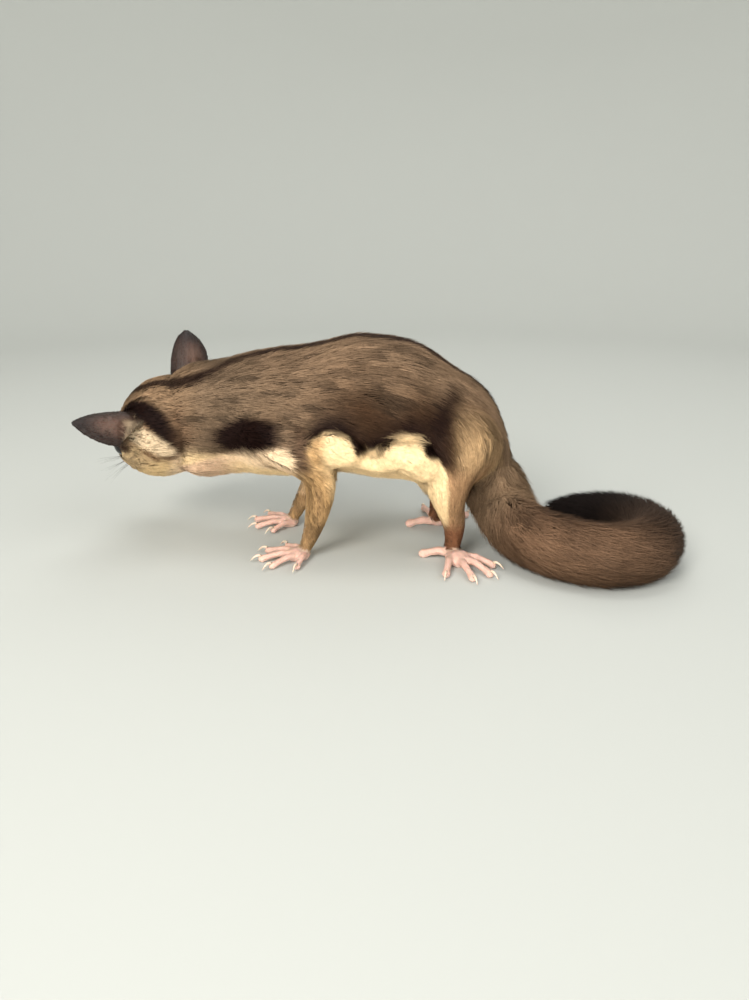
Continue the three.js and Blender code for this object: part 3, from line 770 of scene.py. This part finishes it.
    # Pinker skin down the middle, lightened further as a painted highlight along the ridge
    lay("earPinkAndHighlight", bareEar * bell(across - 0.35 * (1 - earFront), 0.5) * ramp(along, 0.95, 0.4))
    lay("earTip", bareEar * np.maximum(ramp(along, 0.55, 0.95), 0.6 * ramp(np.abs(across), 0.65, 1)))
    return color


# Each part of the body in the coat and in the skin reads its colour through this
def partTest(parts):
    return lambda *names: np.isin(parts, [partNames.index(name) for name in names]).astype(float)


skinColor = paint(outer, inHead(outer), row, around, radius, partTest(part), ear, earFront)
bare = relax(isPart("nose", "ear", "forefoot", "hindfoot").astype(float), 2)
shaded = 0.8 + 0.12 * ramp(skinColor.mean(1), 0.2, 0.6)  # the roots of the coat are darker
skinColor = skinColor * (shaded + (1 - shaded) * bare)[:, None]
onFoot = relax(isPart("forefoot", "hindfoot").astype(float), 3)
byFace = isPart("nose", "head")
bareColors = [
    ("footPink", onFoot),
    ("footPad", onFoot * ramp(outer[:, 2], 1.6, 0.4)),
    ("nose", relax(isPart("nose").astype(float), 2)),
    ("lip", np.clip(lipGroove / facePlan["lipDepth"], 0, 1) ** 0.5 * 0.85),
    # Nostril openings in the lids' near black: painted shade inside them
    ("lid", np.clip(nostril * 1.3, 0, 1) * byFace),
    ("lid", ramp(eyeGap, 6.0, 5.0) * byFace),
]
for name, mask in bareColors:
    skinColor = mix(skinColor, coatColors[name], np.clip(mask, 0, 1)[:, None])

addColors(skin.data, skinColor)
addField(skin.data, "bare", np.clip(bare, 0, 1))
skin.data.polygons.foreach_set("use_smooth", np.ones(len(skin.data.polygons), bool))
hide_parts(*fleshNodes)
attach(skin, "root")
print("skin painted")


# Coat: tufts of hair with three sides, thin and pointed, rooted in the skin

tuftPlan = {
    "rings": np.array([0, 0.45]),  # places of the rings along a tuft, then its tip at 1
    "ringWidth": np.array([0.7, 1.0]),
    "thickness": 0.3,  # of the width
    "rise": np.array([0, 0.9, 1.14]),  # how fast it rises to the coat's surface
    "roundness": 0.45,  # how far the shading turns from one edge of a tuft to the other
    "rootBelow": 0.3,
    "patch": 0.003,  # size of a tuft's patch on the unwrap
    "lowest": 0.15,  # above the floor
    "lockShare": 0.2,  # how far tufts lean together into locks
    "tuftsPerLock": 12,
    "mostOnPiece": 19800,
    "unevenLength": 0.13, "unevenLift": 0.08, "unevenHeading": 0.11, "unevenBend": 0.06,
    "unevenShade": 0.09, "streakShade": 0.19, "sway": 0.05, "swaySize": 3.0,
    "middleShade": 0.97, "tipShade": (1.12, 1.1, 1.06),
    "margin": 0.004, "span": 0.988,  # of the unwrap
    "strayest": 3.5,  # a tuft whose tip lies further from the coat's surface is left out
}  # fmt: skip
amountShare = 1.0
skin.data.calc_loop_triangles()
triangles = readArray(skin.data.loop_triangles, "vertices", 3, np.int32)
triCorner = points[triangles]
triArea = 0.5 * np.linalg.norm(
    np.cross(triCorner[:, 1] - triCorner[:, 0], triCorner[:, 2] - triCorner[:, 0]), axis=1
)

# Fields of the coat on each vertex, evened out where one part meets the next
shortFace = shortened("faceLength", head[:, 0])
length = np.where(onLeg, perPart("length") * shortened("legLength", outer[:, 2]), perPart("length"))
length = np.where(isPart("head"), length * shortFace * shortened("eyeLength", eyeGap), length)
length = np.where(isPart("ear"), length + 2.8 * earBase, length)
length = relax(length, 6)
lift = relax(np.maximum(depth, 0.12 * length), 2)
width = np.where(isPart("head"), perPart("width") * mix(0.62, 1, shortFace), perPart("width"))
width = relax(width, 6)
density = perPart("density") * np.where(isPart("head"), 1 + 0.6 * ramp(head[:, 0], 2, 14), 1)
onTop = ramp(normals[:, 2], -0.1, 0.4) * ramp(outer[:, 2], 1.2, 2.4)
density = np.where(isPart("forefoot", "hindfoot"), density * onTop, density)
density = np.where(isPart("ear"), density * (1 - 0.7 * earFront) + 12 * earBase, density)
density *= ramp(eyeGap, 5.2, 5.8)
density *= 1 - np.clip(lipGroove / facePlan["lipDepth"], 0, 1)
density *= relax(1 - isPart("nose").astype(float), 1) ** 2


def tuftMesh(name, paths, side, up, halfWidth, colors, rootUv):
    count = len(paths)
    ringCount = len(tuftPlan["rings"])
    perTuft = 3 * ringCount + 1
    corners = np.empty((count, perTuft, 3))
    patchUv = np.empty((perTuft, 2))
    for k in range(ringCount):
        wide = halfWidth * tuftPlan["ringWidth"][k]
        reach = side[:, k] * wide[:, None]
        corners[:, 3 * k] = paths[:, k] + reach
        corners[:, 3 * k + 1] = paths[:, k] + up[:, k] * (wide * 2 * tuftPlan["thickness"])[:, None]
        corners[:, 3 * k + 2] = paths[:, k] - reach
        patchUv[3 * k : 3 * k + 3] = [(u, tuftPlan["rings"][k]) for u in (0, 0.5, 1)]
    corners[:, -1] = paths[:, -1]
    patchUv[-1] = (0.5, 1)
    corners[:, :, 2] = np.maximum(corners[:, :, 2], tuftPlan["lowest"])
    faces = [(0, 1, 2)]
    for k in range(ringCount - 1):
        for i in range(3):
            a, b = 3 * k + i, 3 * k + (i + 1) % 3
            faces += [(a, a + 3, b), (b, a + 3, b + 3)]
    last = 3 * (ringCount - 1)
    faces += [(last + i, perTuft - 1, last + (i + 1) % 3) for i in range(3)]
    faces = np.array(faces)
    allFaces = (faces[None] + perTuft * np.arange(count)[:, None, None]).reshape(-1, 3)

    mesh = bpy.data.meshes.new(name)
    mesh.vertices.add(count * perTuft)
    mesh.vertices.foreach_set(
        "co", ((corners.reshape(-1, 3) + bodyZero) * mm).astype(np.float32).ravel()
    )
    mesh.loops.add(allFaces.size)
    mesh.loops.foreach_set("vertex_index", allFaces.astype(np.int32).ravel())
    mesh.polygons.add(len(allFaces))
    mesh.polygons.foreach_set("loop_start", np.arange(0, allFaces.size, 3, dtype=np.int32))
    mesh.polygons.foreach_set("use_smooth", np.ones(len(allFaces), bool))
    mesh.update(calc_edges=True)
    lean = tuftPlan["roundness"] * side
    tip = up[:, -1:] + draws.normal(0, 0.1, (count, 1, 3))
    shading = np.stack([up + lean, up, up - lean], 2).reshape(count, -1, 3)
    shading = unit(np.concatenate([shading, tip], 1).reshape(-1, 3))
    mesh.normals_split_custom_set_from_vertices(shading.tolist())
    ringOf = np.minimum(np.arange(perTuft) // 3, ringCount)
    addColors(mesh, colors[:, ringOf].reshape(-1, 3))
    uvLayer = mesh.uv_layers.new(name="OFBake")
    tuftUv = rootUv[:, None, :] + tuftPlan["patch"] * patchUv[None]
    uvLayer.data.foreach_set("uv", tuftUv.reshape(-1, 2)[allFaces.ravel()].astype(np.float32).ravel())
    return newPiece(name, mesh)


# Unwraps: once around, and along the length. Lengths of body and tail are unwrapped by row.


def turned(a, b):
    return np.arctan2(a, b) / (2 * math.pi) + 0.5


def unwrapHead(root):
    h = inHead(root)
    return np.stack([turned(h[:, 1], h[:, 2]), (h[:, 0] + 22) / 46], 1)


def unwrapLimbs(root):
    # The left limb on one half and the right limb on the other.
    middleX = np.where(root[:, 0] < 24, 3.0, 45.0)
    turn = turned(root[:, 0] - middleX, np.abs(root[:, 1]) - 14)
    return np.stack([0.5 * turn + 0.5 * (root[:, 1] > 0), root[:, 2] / 48], 1)


def unwrapMembranes(root):
    turn = turned(root[:, 2] - 33, np.abs(root[:, 1]) - 17.5)
    return np.stack([0.5 * turn + 0.5 * (root[:, 1] > 0), (root[:, 0] + 2) / 48], 1)


def paintAt(places, nearest):
    ownHead = inHead(places)
    return paint(
        places, ownHead, row[nearest], around[nearest], radius[nearest], partTest(part[nearest]),
        earPlace(ownHead), earFront[nearest],
    )


def growCoat(name, parts, unwrap, rowSpan):
    onPiece = isPart(*parts)
    if rowSpan:
        onPiece &= (row >= rowSpan[0]) & (row < rowSpan[1] + 0.001)
    ownFaces = onPiece[triangles[:, 0]]
    share = density[triangles].mean(1) * triArea * ownFaces
    count = int(min(share.sum() * amountShare, tuftPlan["mostOnPiece"]))
    face = draws.choice(len(triangles), count, p=share / share.sum())
    a, b = draws.random(count), draws.random(count)
    a, b = np.where(a + b > 1, 1 - a, a), np.where(a + b > 1, 1 - b, b)
    weights = np.stack([1 - a - b, a, b], 1)

    def at(field):
        corner = field[triangles[face]]
        return (corner * weights.reshape(weights.shape + (1,) * (corner.ndim - 2))).sum(1)

    root, ownLength, ownLift = at(points), at(length), at(lift)
    ownLength = ownLength * draws.normal(1, tuftPlan["unevenLength"], count).clip(0.6, 1.4)
    ownLift = ownLift * draws.normal(1.0, tuftPlan["unevenLift"], count).clip(0.7, 1.14)
    run = np.sqrt(np.maximum(ownLength**2 - ownLift**2, (0.4 * ownLength) ** 2))
    up = unit(at(normals))
    heading = at(lie) + draws.normal(0, tuftPlan["unevenHeading"], (count, 3))
    heading = unit(heading - up * dot(heading, up)[:, None])
    bend = draws.normal(0, tuftPlan["unevenBend"], count) * ownLength
    sway = tuftPlan["sway"] * softNoise(root, tuftPlan["swaySize"], 8) * ownLength

    places = [0.0, *tuftPlan["rings"][1:], 1.0]
    paths = [root - up * tuftPlan["rootBelow"]]
    ups, sides = [up], [np.cross(heading, up)]
    surface = root
    shownAt = []
    for k in range(1, len(places)):
        ahead = surface + heading * (run * (places[k] - places[k - 1]))[:, None]
        nearest = nearestOnSkin(ahead)
        up = normals[nearest]
        surface = ahead - up * dot(ahead - points[nearest], up)[:, None]
        heading = unit(0.6 * heading + 0.4 * lie[nearest])
        heading = unit(heading - up * dot(heading, up)[:, None])
        side = np.cross(heading, up)
        swing = (bend + sway) * places[k] ** 2
        raised = surface + up * (ownLift * tuftPlan["rise"][k])[:, None] + side * swing[:, None]
        paths.append(raised)
        ups.append(up)
        sides.append(side)
        shownAt.append(nearest)
    paths = np.stack(paths, 1)
    strayGap = np.linalg.norm(paths[:, -1] - outer[shownAt[-1]], axis=1)
    fits = strayGap < tuftPlan["strayest"]

    # Neighbouring tufts lean together into locks
    leaders = draws.choice(count, max(1, count // tuftPlan["tuftsPerLock"]), replace=False)
    leaderTree = treeOf(paths[leaders, 1])
    lead = leaders[[leaderTree.find(p)[1] for p in paths[:, 1].tolist()]]
    lockShare = tuftPlan["lockShare"] * draws.uniform(0.3, 1.2, count)
    for k in range(1, len(places)):
        target = paths[lead, k] + 0.3 * (paths[:, 0] - paths[lead, 0])
        close = ramp(np.linalg.norm(target - paths[:, k], axis=1), 2.4, 1.2)
        paths[:, k] += (lockShare * close * places[k] ** 2)[:, None] * (target - paths[:, k])

    # Colour where the tuft shows: lighter and darker streaks, dark roots and pale tips
    shown = [paintAt(paths[:, k], shownAt[k - 1]) for k in (1, 2)]
    brightness = shown[0].mean(1)
    notPale = ramp(brightness, 0.6, 0.25)
    shade = 1 + tuftPlan["streakShade"] * ramp(brightness, 0.0, 0.06) * notPale * streaks[shownAt[0]]
    shade += draws.normal(0, tuftPlan["unevenShade"], count) * notPale
    shade = np.clip(shade, 0.5, 1.6)[:, None]
    rootShade = (0.66 + 0.26 * ramp(brightness, 0.1, 0.5))[:, None]
    tip = 0.35 * shown[0] + 0.65 * shown[1]
    stops = [shown[0] * rootShade, shown[0] * tuftPlan["middleShade"], tip * tuftPlan["tipShade"]]
    colors = np.clip(np.stack(stops, 1) * shade[:, None], 0.002, 0.95)

    if unwrap:
        uv = unwrap(root)
    else:
        uv = np.stack([(at(around) + 180) / 360, (at(row) - rowSpan[0]) / (rowSpan[1] - rowSpan[0])], 1)
    uv = tuftPlan["margin"] + tuftPlan["span"] * np.clip(uv, 0, 1)
    sides, ups = np.stack(sides[:2], 1), np.stack(ups[:2], 1)
    ownWidth = at(width) * draws.uniform(0.8, 1.2, count) / 2
    piece = tuftMesh(name, *(field[fits] for field in (paths, sides, ups, ownWidth, colors, uv)))
    print(name, fits.sum(), "tufts,", len(piece.data.polygons), "triangles")
    return piece


coats = [
    ("coat_head", ("head",), unwrapHead, None, "fur"),
    ("coat_neck", ("neck",), None, lengthsOfBody["neck"], "fur"),
    ("coat_chest", ("chest",), None, lengthsOfBody["chest"], "fur"),
    ("coat_loin", ("loin",), None, lengthsOfBody["loin"], "fur"),
    ("coat_rump", ("rump",), None, lengthsOfBody["rump"], "fur"),
    ("coat_tail_root", ("tail",), None, lengthsOfBody["tail_root"], "fur"),
    ("coat_tail_middle", ("tail",), None, lengthsOfBody["tail_middle"], "fur"),
    ("coat_tail_end", ("tail",), None, (16.5, 22), "dark_fur"),
    ("coat_forelegs", ("foreleg",), unwrapLimbs, None, "fur"),
    ("coat_hindlegs", ("hindleg",), unwrapLimbs, None, "fur"),
    ("coat_membranes", ("membrane",), unwrapMembranes, None, "pale_fur"),
    ("coat_feet", ("forefoot", "hindfoot"), unwrapLimbs, None, "foot_skin"),
    ("coat_ears", ("ear",), unwrapHead, None, "ear_skin"),
]
coatPieces = []
for name, parts, unwrap, rowSpan, slotName in coats:
    coat = growCoat(name, parts, unwrap, rowSpan)
    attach(coat, "root")
    coatPieces.append(coat)


# Eyes: a smooth dark ball with a clear front that bulges

eyePlan = {
    "radius": headPlan["eyeRadius"], "bulge": 0.3,
    "bulgeAngle": 48, "pupilAngle": 31, "irisAngle": 46,
}  # fmt: skip
eyePieces = []
for side in ("left", "right"):
    gaze = eyes[side + "Gaze"]
    bpy.ops.object.select_all(action="DESELECT")
    bpy.ops.mesh.primitive_uv_sphere_add(
        segments=64, ring_count=40, radius=eyePlan["radius"] * mm, location=(0, 0, 0)
    )
    ball = bpy.context.object
    ball.name = "eyeball_" + side
    ballPoints = readArray(ball.data.vertices, "co", 3).astype(float) / mm
    tilt = Vector((0, 0, 1)).rotation_difference(Vector(gaze)).to_matrix()
    angle = np.degrees(np.arccos(np.clip(ballPoints[:, 2] / eyePlan["radius"], -1, 1)))
    bulge = eyePlan["bulge"] * ramp(angle, eyePlan["bulgeAngle"], 12)
    ballPoints *= (1 + bulge / eyePlan["radius"])[:, None]
    placed = ballPoints @ np.array(tilt).T + eyes[side]
    ball.data.vertices.foreach_set("co", (placed * mm).astype(np.float32).ravel())
    addField(ball.data, "fromPupil", angle)
    bpy.ops.object.shade_smooth()
    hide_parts("eye_" + side)
    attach(ball, "root")
    eyePieces.append(ball)
print("eyes made")


def taperedRod(centres, radii, sides=10):
    # Closed rod through a line of points, as points and faces.
    centres = np.asarray(centres, float)
    ahead = unit(np.gradient(centres, axis=0))
    side = unit(np.cross(ahead, [0.13, 0.21, 0.97]))
    top = np.cross(side, ahead)
    turns = np.arange(sides) * 2 * math.pi / sides
    ring = np.cos(turns)[None, :, None] * side[:, None] + np.sin(turns)[None, :, None] * top[:, None]
    body = (centres[:, None] + ring * np.asarray(radii)[:, None, None]).reshape(-1, 3)
    faces = []
    for k in range(len(centres) - 1):
        for i in range(sides):
            a, b = k * sides + i, k * sides + (i + 1) % sides
            faces.append((a, b, b + sides, a + sides))
    faces.append(tuple(reversed(range(sides))))
    faces.append(tuple(range((len(centres) - 1) * sides, len(centres) * sides)))
    return body, faces


def pieceOfRods(name, rods):
    allPoints, allFaces = [], []
    for body, faces in rods:
        start = sum(map(len, allPoints))
        allPoints.append(body)
        allFaces += [tuple(i + start for i in face) for face in faces]
    mesh = bpy.data.meshes.new(name)
    mesh.from_pydata(((np.concatenate(allPoints) + bodyZero) * mm).tolist(), [], allFaces)
    piece = newPiece(name, mesh)
    makeActive(piece)
    bpy.ops.object.mode_set(mode="EDIT")
    bpy.ops.mesh.select_all(action="SELECT")
    bpy.ops.mesh.normals_make_consistent(inside=False)
    bpy.ops.object.mode_set(mode="OBJECT")
    bpy.ops.object.shade_smooth()
    return piece


# Claws: small curved hooks that start inside the toe tips, one piece for each foot

clawPlan = {"rings": 9, "radius": 0.46, "inToe": 0.9, "hook": 0.6, "lowest": 0.25}
clawPieces = []
for end in ("fore", "hind"):
    for side in ("left", "right"):
        nodes = sorted(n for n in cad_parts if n.startswith(f"{end}claw_{side}"))
        rods = []
        for node in nodes:
            found = readArray(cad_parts[node].data.vertices, "co", 3).astype(float) / mm
            spread = found - found.mean(0)
            axis = np.linalg.svd(spread, full_matrices=False)[2][0]
            low, high = (found @ axis).argmin(), (found @ axis).argmax()
            footMiddle = centreOf(f"{end}foot_{side}")
            if np.linalg.norm(found[low] - footMiddle) > np.linalg.norm(found[high] - footMiddle):
                axis = -axis
            along = found @ axis
            base = found[along < along.min() + 0.15].mean(0)
            tip = found[along.argmax()]
            level = unit((tip - base) * (1, 1, 0))
            start = base - level * clawPlan["inToe"]
            t = np.linspace(0, 1, clawPlan["rings"])
            line = start + (tip - start) * t[:, None]
            line[:, 2] += clawPlan["hook"] * np.sin(math.pi * t**0.8) - 0.25 * t**3
            line[:, 2] = np.maximum(line[:, 2], clawPlan["lowest"])
            rods.append(taperedRod(line - bodyZero, clawPlan["radius"] * (1 - t) ** 0.6 + 0.03))
        claws = pieceOfRods(f"claws_{end}_{side}", rods)
        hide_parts(*nodes)
        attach(claws, "root")
        clawPieces.append(claws)
print("claws made")


# Whiskers: fine hairs from the muzzle, brows and cheeks

whiskerPlan = {
    "rows": 3, "perRow": 5, "radius": 0.036, "longest": 12, "droop": 0.1, "sweep": 0.13,
    "inSkin": 0.3, "thinTo": 0.15, "brows": 3, "browLength": 9.0, "browRadius": 0.0288,
}  # fmt: skip
whiskerRods = []
for sign in (1, -1):
    for i in range(whiskerPlan["rows"]):
        for j in range(whiskerPlan["perRow"]):
            rootHead = np.array([17.6 - 1.15 * j - 0.25 * i, 5.2 + 0.62 * j, -0.4 - 1.15 * i + 0.2 * j])
            rootPlace = fromHead(rootHead * (1, sign, 1))
            nearest = skinTree.find(rootPlace.tolist())[1]
            way = np.array([0.85 - 0.24 * j, 0.85, 0.5 - 0.2 * i]) + draws.normal(0, 0.08, 3)
            way = unit(unit(way * (1, sign, 1)) @ headAxes)
            reach = whiskerPlan["longest"] * (0.45 + 0.13 * j) * draws.uniform(0.85, 1.1)
            t = np.linspace(0, 1, 10)
            line = points[nearest] - whiskerPlan["inSkin"] * way + way * (reach * t)[:, None]
            line = line - headForward * (whiskerPlan["sweep"] * reach * t**2)[:, None]
            line[:, 2] -= whiskerPlan["droop"] * reach * t**2
            whiskerRods.append(taperedRod(line, whiskerPlan["radius"] * mix(1, whiskerPlan["thinTo"], t), 4))
    for j in range(whiskerPlan["brows"]):
        rootPlace = fromHead(np.array([12.5 - 0.9 * j, 5.4 + 0.5 * j, 8.2 - 0.1 * j]) * (1, sign, 1))
        nearest = skinTree.find(rootPlace.tolist())[1]
        way = unit(np.array([0.5 - 0.2 * j, 0.55 * sign, 0.9]) @ headAxes)
        t = np.linspace(0, 1, 8)
        line = points[nearest] - whiskerPlan["inSkin"] * way + way * (whiskerPlan["browLength"] * t)[:, None]
        whiskerRods.append(taperedRod(line, whiskerPlan["browRadius"] * mix(1, whiskerPlan["thinTo"], t), 4))
whiskers = pieceOfRods("whiskers", whiskerRods)
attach(whiskers, "root")
print("whiskers made")


# Materials


def newMaterial(name):
    material = bpy.data.materials.new(name)
    material.use_nodes = True
    material.node_tree.nodes.clear()
    return material


def addNode(material, kind, settings=None, links=None, tones=()):
    # The tones are the colours along a ramp.
    node = material.node_tree.nodes.new(kind)
    for key, value in (settings or {}).items():
        if key in node.inputs.keys():
            node.inputs[key].default_value = value
        else:
            setattr(node, key, value)
    for i, tone in enumerate(tones):
        node.color_ramp.elements[i].color = (*linear(tone), 1)
    for key, source in (links or {}).items():
        material.node_tree.links.new(source, node.inputs[key])
    return node


def finishMaterial(material, shader, pieces):
    addNode(material, "ShaderNodeOutputMaterial", links={"Surface": shader.outputs[0]})
    for piece in pieces:
        piece.data.materials.clear()
        piece.data.materials.append(material)


def mottledCoat(material, size, detail, noiseSpan, strengthSpan):
    # The painted colours, made lighter and darker in soft flecks of a size in mm
    color = addNode(material, "ShaderNodeAttribute", {"attribute_name": "coatColor"})
    place = addNode(material, "ShaderNodeTexCoord")
    fleck = addNode(
        material, "ShaderNodeTexNoise", {"Scale": 1 / (size * mm), "Detail": detail, "Roughness": 0.6},
        {"Vector": place.outputs["Object"]},
    )
    spans = dict(zip(("From Min", "From Max", "To Min", "To Max"), noiseSpan + strengthSpan))
    strength = addNode(material, "ShaderNodeMapRange", spans, {"Value": fleck.outputs["Fac"]})
    links = {0: color.outputs["Color"], "Scale": strength.outputs["Result"]}
    return addNode(material, "ShaderNodeVectorMath", {"operation": "SCALE"}, links).outputs["Vector"]


def makeGuardHair(pieces):
    # Fine soft fur: nearly matt, with flecks of lighter and darker hair
    hair = newMaterial("gliderGuardHair")
    shader = addNode(
        hair,
        "ShaderNodeBsdfPrincipled",
        {"Roughness": 0.6, "Specular IOR Level": 0.05, "IOR": 1.55},
        {"Base Color": mottledCoat(hair, 0.9, 2.0, (0.25, 0.75), (0.82, 1.16))},
    )
    finishMaterial(hair, shader, pieces)


makeGuardHair(coatPieces)


def makeSkin(pieces):
    # Thin bare skin on the nose, ears and feet: soft, a little moist, with fine creases
    flesh = newMaterial("gliderBareSkin")
    bareness = addNode(flesh, "ShaderNodeAttribute", {"attribute_name": "bare"})
    place = addNode(flesh, "ShaderNodeTexCoord")
    creases = addNode(
        flesh, "ShaderNodeTexVoronoi",
        {"feature": "DISTANCE_TO_EDGE", "Scale": 1 / (0.75 * mm), "Randomness": 0.9},
        {"Vector": place.outputs["Object"]},
    )
    edges = addNode(
        flesh, "ShaderNodeMapRange", {"From Min": 0.0, "From Max": 0.12, "To Min": 0.0, "To Max": 1.0},
        {"Value": creases.outputs["Distance"]},
    )
    bump = addNode(
        flesh, "ShaderNodeBump", {"Strength": 0.35, "Distance": 0.07 * mm},
        {"Height": edges.outputs["Result"]},
    )
    gloss = addNode(
        flesh, "ShaderNodeMapRange", {"To Min": 0.85, "To Max": 0.5}, {"Value": bareness.outputs["Fac"]}
    )
    shader = addNode(
        flesh,
        "ShaderNodeBsdfPrincipled",
        {"Specular IOR Level": 0.3, "IOR": 1.42, "Subsurface Weight": 0.12, "Subsurface Scale": 0.8 * mm},
        {
            "Base Color": mottledCoat(flesh, 2.2, 4.0, (0.3, 0.7), (0.86, 1.12)),
            "Roughness": gloss.outputs["Result"], "Normal": bump.outputs["Normal"],
        },
    )
    finishMaterial(flesh, shader, pieces)


makeSkin([skin])


def makeEye(pieces):
    # Wet black eye: a nearly black brown iris round a wide pupil, under a clear glossy surface
    wet = newMaterial("gliderWetEye")
    angle = addNode(wet, "ShaderNodeAttribute", {"attribute_name": "fromPupil"})
    stops = addNode(
        wet, "ShaderNodeMapRange", {"From Min": eyePlan["pupilAngle"], "From Max": eyePlan["irisAngle"]},
        {"Value": angle.outputs["Fac"]},
    )
    color = addNode(
        wet, "ShaderNodeValToRGB", None, {"Fac": stops.outputs["Result"]}, ("#050403", "#22140D")
    )
    shader = addNode(
        wet,
        "ShaderNodeBsdfPrincipled",
        {
            "Roughness": 0.3, "Specular IOR Level": 0.1, "IOR": 1.38,
            "Coat Weight": 1.0, "Coat Roughness": 0.02, "Coat IOR": 1.38,
        },
        {"Base Color": color.outputs["Color"]},
    )
    finishMaterial(wet, shader, pieces)


makeEye(eyePieces)


def makeKeratin(pieces):
    # Claw horn: pale and a little clear, smooth, with faint growth lines
    horn = newMaterial("clawHorn")
    place = addNode(horn, "ShaderNodeTexCoord")
    grain = addNode(
        horn, "ShaderNodeTexNoise", {"Scale": 1 / (0.5 * mm), "Detail": 3.0},
        {"Vector": place.outputs["Object"]},
    )
    color = addNode(
        horn, "ShaderNodeValToRGB", None, {"Fac": grain.outputs["Fac"]}, ("#B39B84", "#DDCDB9")
    )
    shader = addNode(
        horn, "ShaderNodeBsdfPrincipled",
        {"Roughness": 0.3, "IOR": 1.54, "Subsurface Weight": 0.15, "Subsurface Scale": 0.5 * mm},
        {"Base Color": color.outputs["Color"]},
    )
    finishMaterial(horn, shader, pieces)


makeKeratin(clawPieces)


def makeWhisker(pieces):
    # Stiff dark whisker hair, smooth enough to catch a thin line of light
    stiff = newMaterial("whiskerHair")
    place = addNode(stiff, "ShaderNodeTexCoord")
    tone = addNode(
        stiff, "ShaderNodeTexNoise", {"Scale": 1 / (4 * mm), "Detail": 1.0},
        {"Vector": place.outputs["Object"]},
    )
    color = addNode(
        stiff, "ShaderNodeValToRGB", None, {"Fac": tone.outputs["Fac"]}, ("#120D0B", "#3A2E28")
    )
    shader = addNode(
        stiff, "ShaderNodeBsdfPrincipled", {"Roughness": 0.35, "IOR": 1.55},
        {"Base Color": color.outputs["Color"]},
    )
    finishMaterial(stiff, shader, pieces)


makeWhisker([whiskers])
print("materials made")


# Stage: a pale floor that runs up into a pale wall, and soft studio light

stagePlan = {"color": "#AEB0AB", "floorRadius": 0.5, "bend": 0.35, "high": 1.2, "sides": 96}
profile = [(0.02, 0.0), (stagePlan["floorRadius"], 0.0)]
for turn in np.linspace(0, math.pi / 2, 13)[1:]:
    outwards = stagePlan["floorRadius"] + stagePlan["bend"] * math.sin(turn)
    profile.append((outwards, stagePlan["bend"] * (1 - math.cos(turn))))
profile.append((profile[-1][0], stagePlan["high"]))
bpy.ops.object.select_all(action="DESELECT")
bpy.ops.mesh.primitive_circle_add(vertices=stagePlan["sides"], radius=0.02, fill_type="NGON")
backdrop = bpy.context.object
backdrop.name = "studio_backdrop"
bpy.ops.object.mode_set(mode="EDIT")
bpy.ops.mesh.select_all(action="SELECT")
for (reach, height), (nextReach, nextHeight) in zip(profile, profile[1:]):
    bpy.ops.mesh.extrude_region_move(TRANSFORM_OT_translate={"value": (0, 0, nextHeight - height)})
    grow = nextReach / reach
    bpy.ops.transform.resize(value=(grow, grow, 1), center_override=(0, 0, nextHeight))
bpy.ops.mesh.delete(type="ONLY_FACE")
bpy.ops.mesh.select_all(action="SELECT")
bpy.ops.mesh.normals_make_consistent(inside=True)
bpy.ops.object.mode_set(mode="OBJECT")
bpy.ops.object.shade_smooth()
backdrop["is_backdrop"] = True


def makePaper(pieces):
    # Seamless backdrop paper: matt and even, with the faintest tooth
    paper = newMaterial("backdropPaper")
    place = addNode(paper, "ShaderNodeTexCoord")
    tooth = addNode(
        paper, "ShaderNodeTexNoise", {"Scale": 1 / (1.5 * mm), "Detail": 2.0},
        {"Vector": place.outputs["Object"]},
    )
    bump = addNode(
        paper, "ShaderNodeBump", {"Strength": 0.05, "Distance": 0.05 * mm}, {"Height": tooth.outputs["Fac"]}
    )
    shader = addNode(
        paper, "ShaderNodeBsdfPrincipled",
        {"Base Color": (*linear(stagePlan["color"]), 1), "Roughness": 0.95, "Specular IOR Level": 0.1},
        {"Normal": bump.outputs["Normal"]},
    )
    finishMaterial(paper, shader, pieces)


makePaper([backdrop])

lights = {
    "key": {"place": (-0.25, -0.48, 0.42), "size": 0.3, "power": 4.4, "color": (1.0, 0.97, 0.93)},
    "low": {"place": (-0.08, -0.5, 0.08), "size": 0.3, "power": 2.4, "color": (1.0, 0.97, 0.93)},
    "fill": {"place": (0.45, -0.3, 0.5), "size": 0.4, "power": 1.6, "color": (0.97, 0.98, 1.0)},
    "back": {"place": (0.1, 0.5, 0.6), "size": 0.4, "power": 0.8, "color": (1.0, 0.99, 0.97)},
    "wall": {"place": (0.0, 0.1, 0.9), "size": 0.7, "power": 3.8, "color": (1.0, 0.99, 0.97),
             "aim": (0, 0.85, 0.3)},
}  # fmt: skip
for name, light in lights.items():
    aim = Vector(light.get("aim", (0, 0, 0.03))) - Vector(light["place"])
    bpy.ops.object.light_add(
        type="AREA", location=light["place"], rotation=aim.to_track_quat("-Z", "Y").to_euler()
    )
    lamp = bpy.context.object.data
    lamp.shape = "DISK"
    lamp.size = light["size"]
    lamp.energy = light["power"]
    lamp.color = light["color"]
world = bpy.data.worlds.new("studio")
bpy.context.scene.world = world
world.use_nodes = True
world.node_tree.nodes["Background"].inputs["Color"].default_value = (0.93, 0.94, 0.95, 1)
world.node_tree.nodes["Background"].inputs["Strength"].default_value = 0.85
bpy.context.scene.view_settings.view_transform = "Standard"
print("stage and lights set")

low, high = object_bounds()
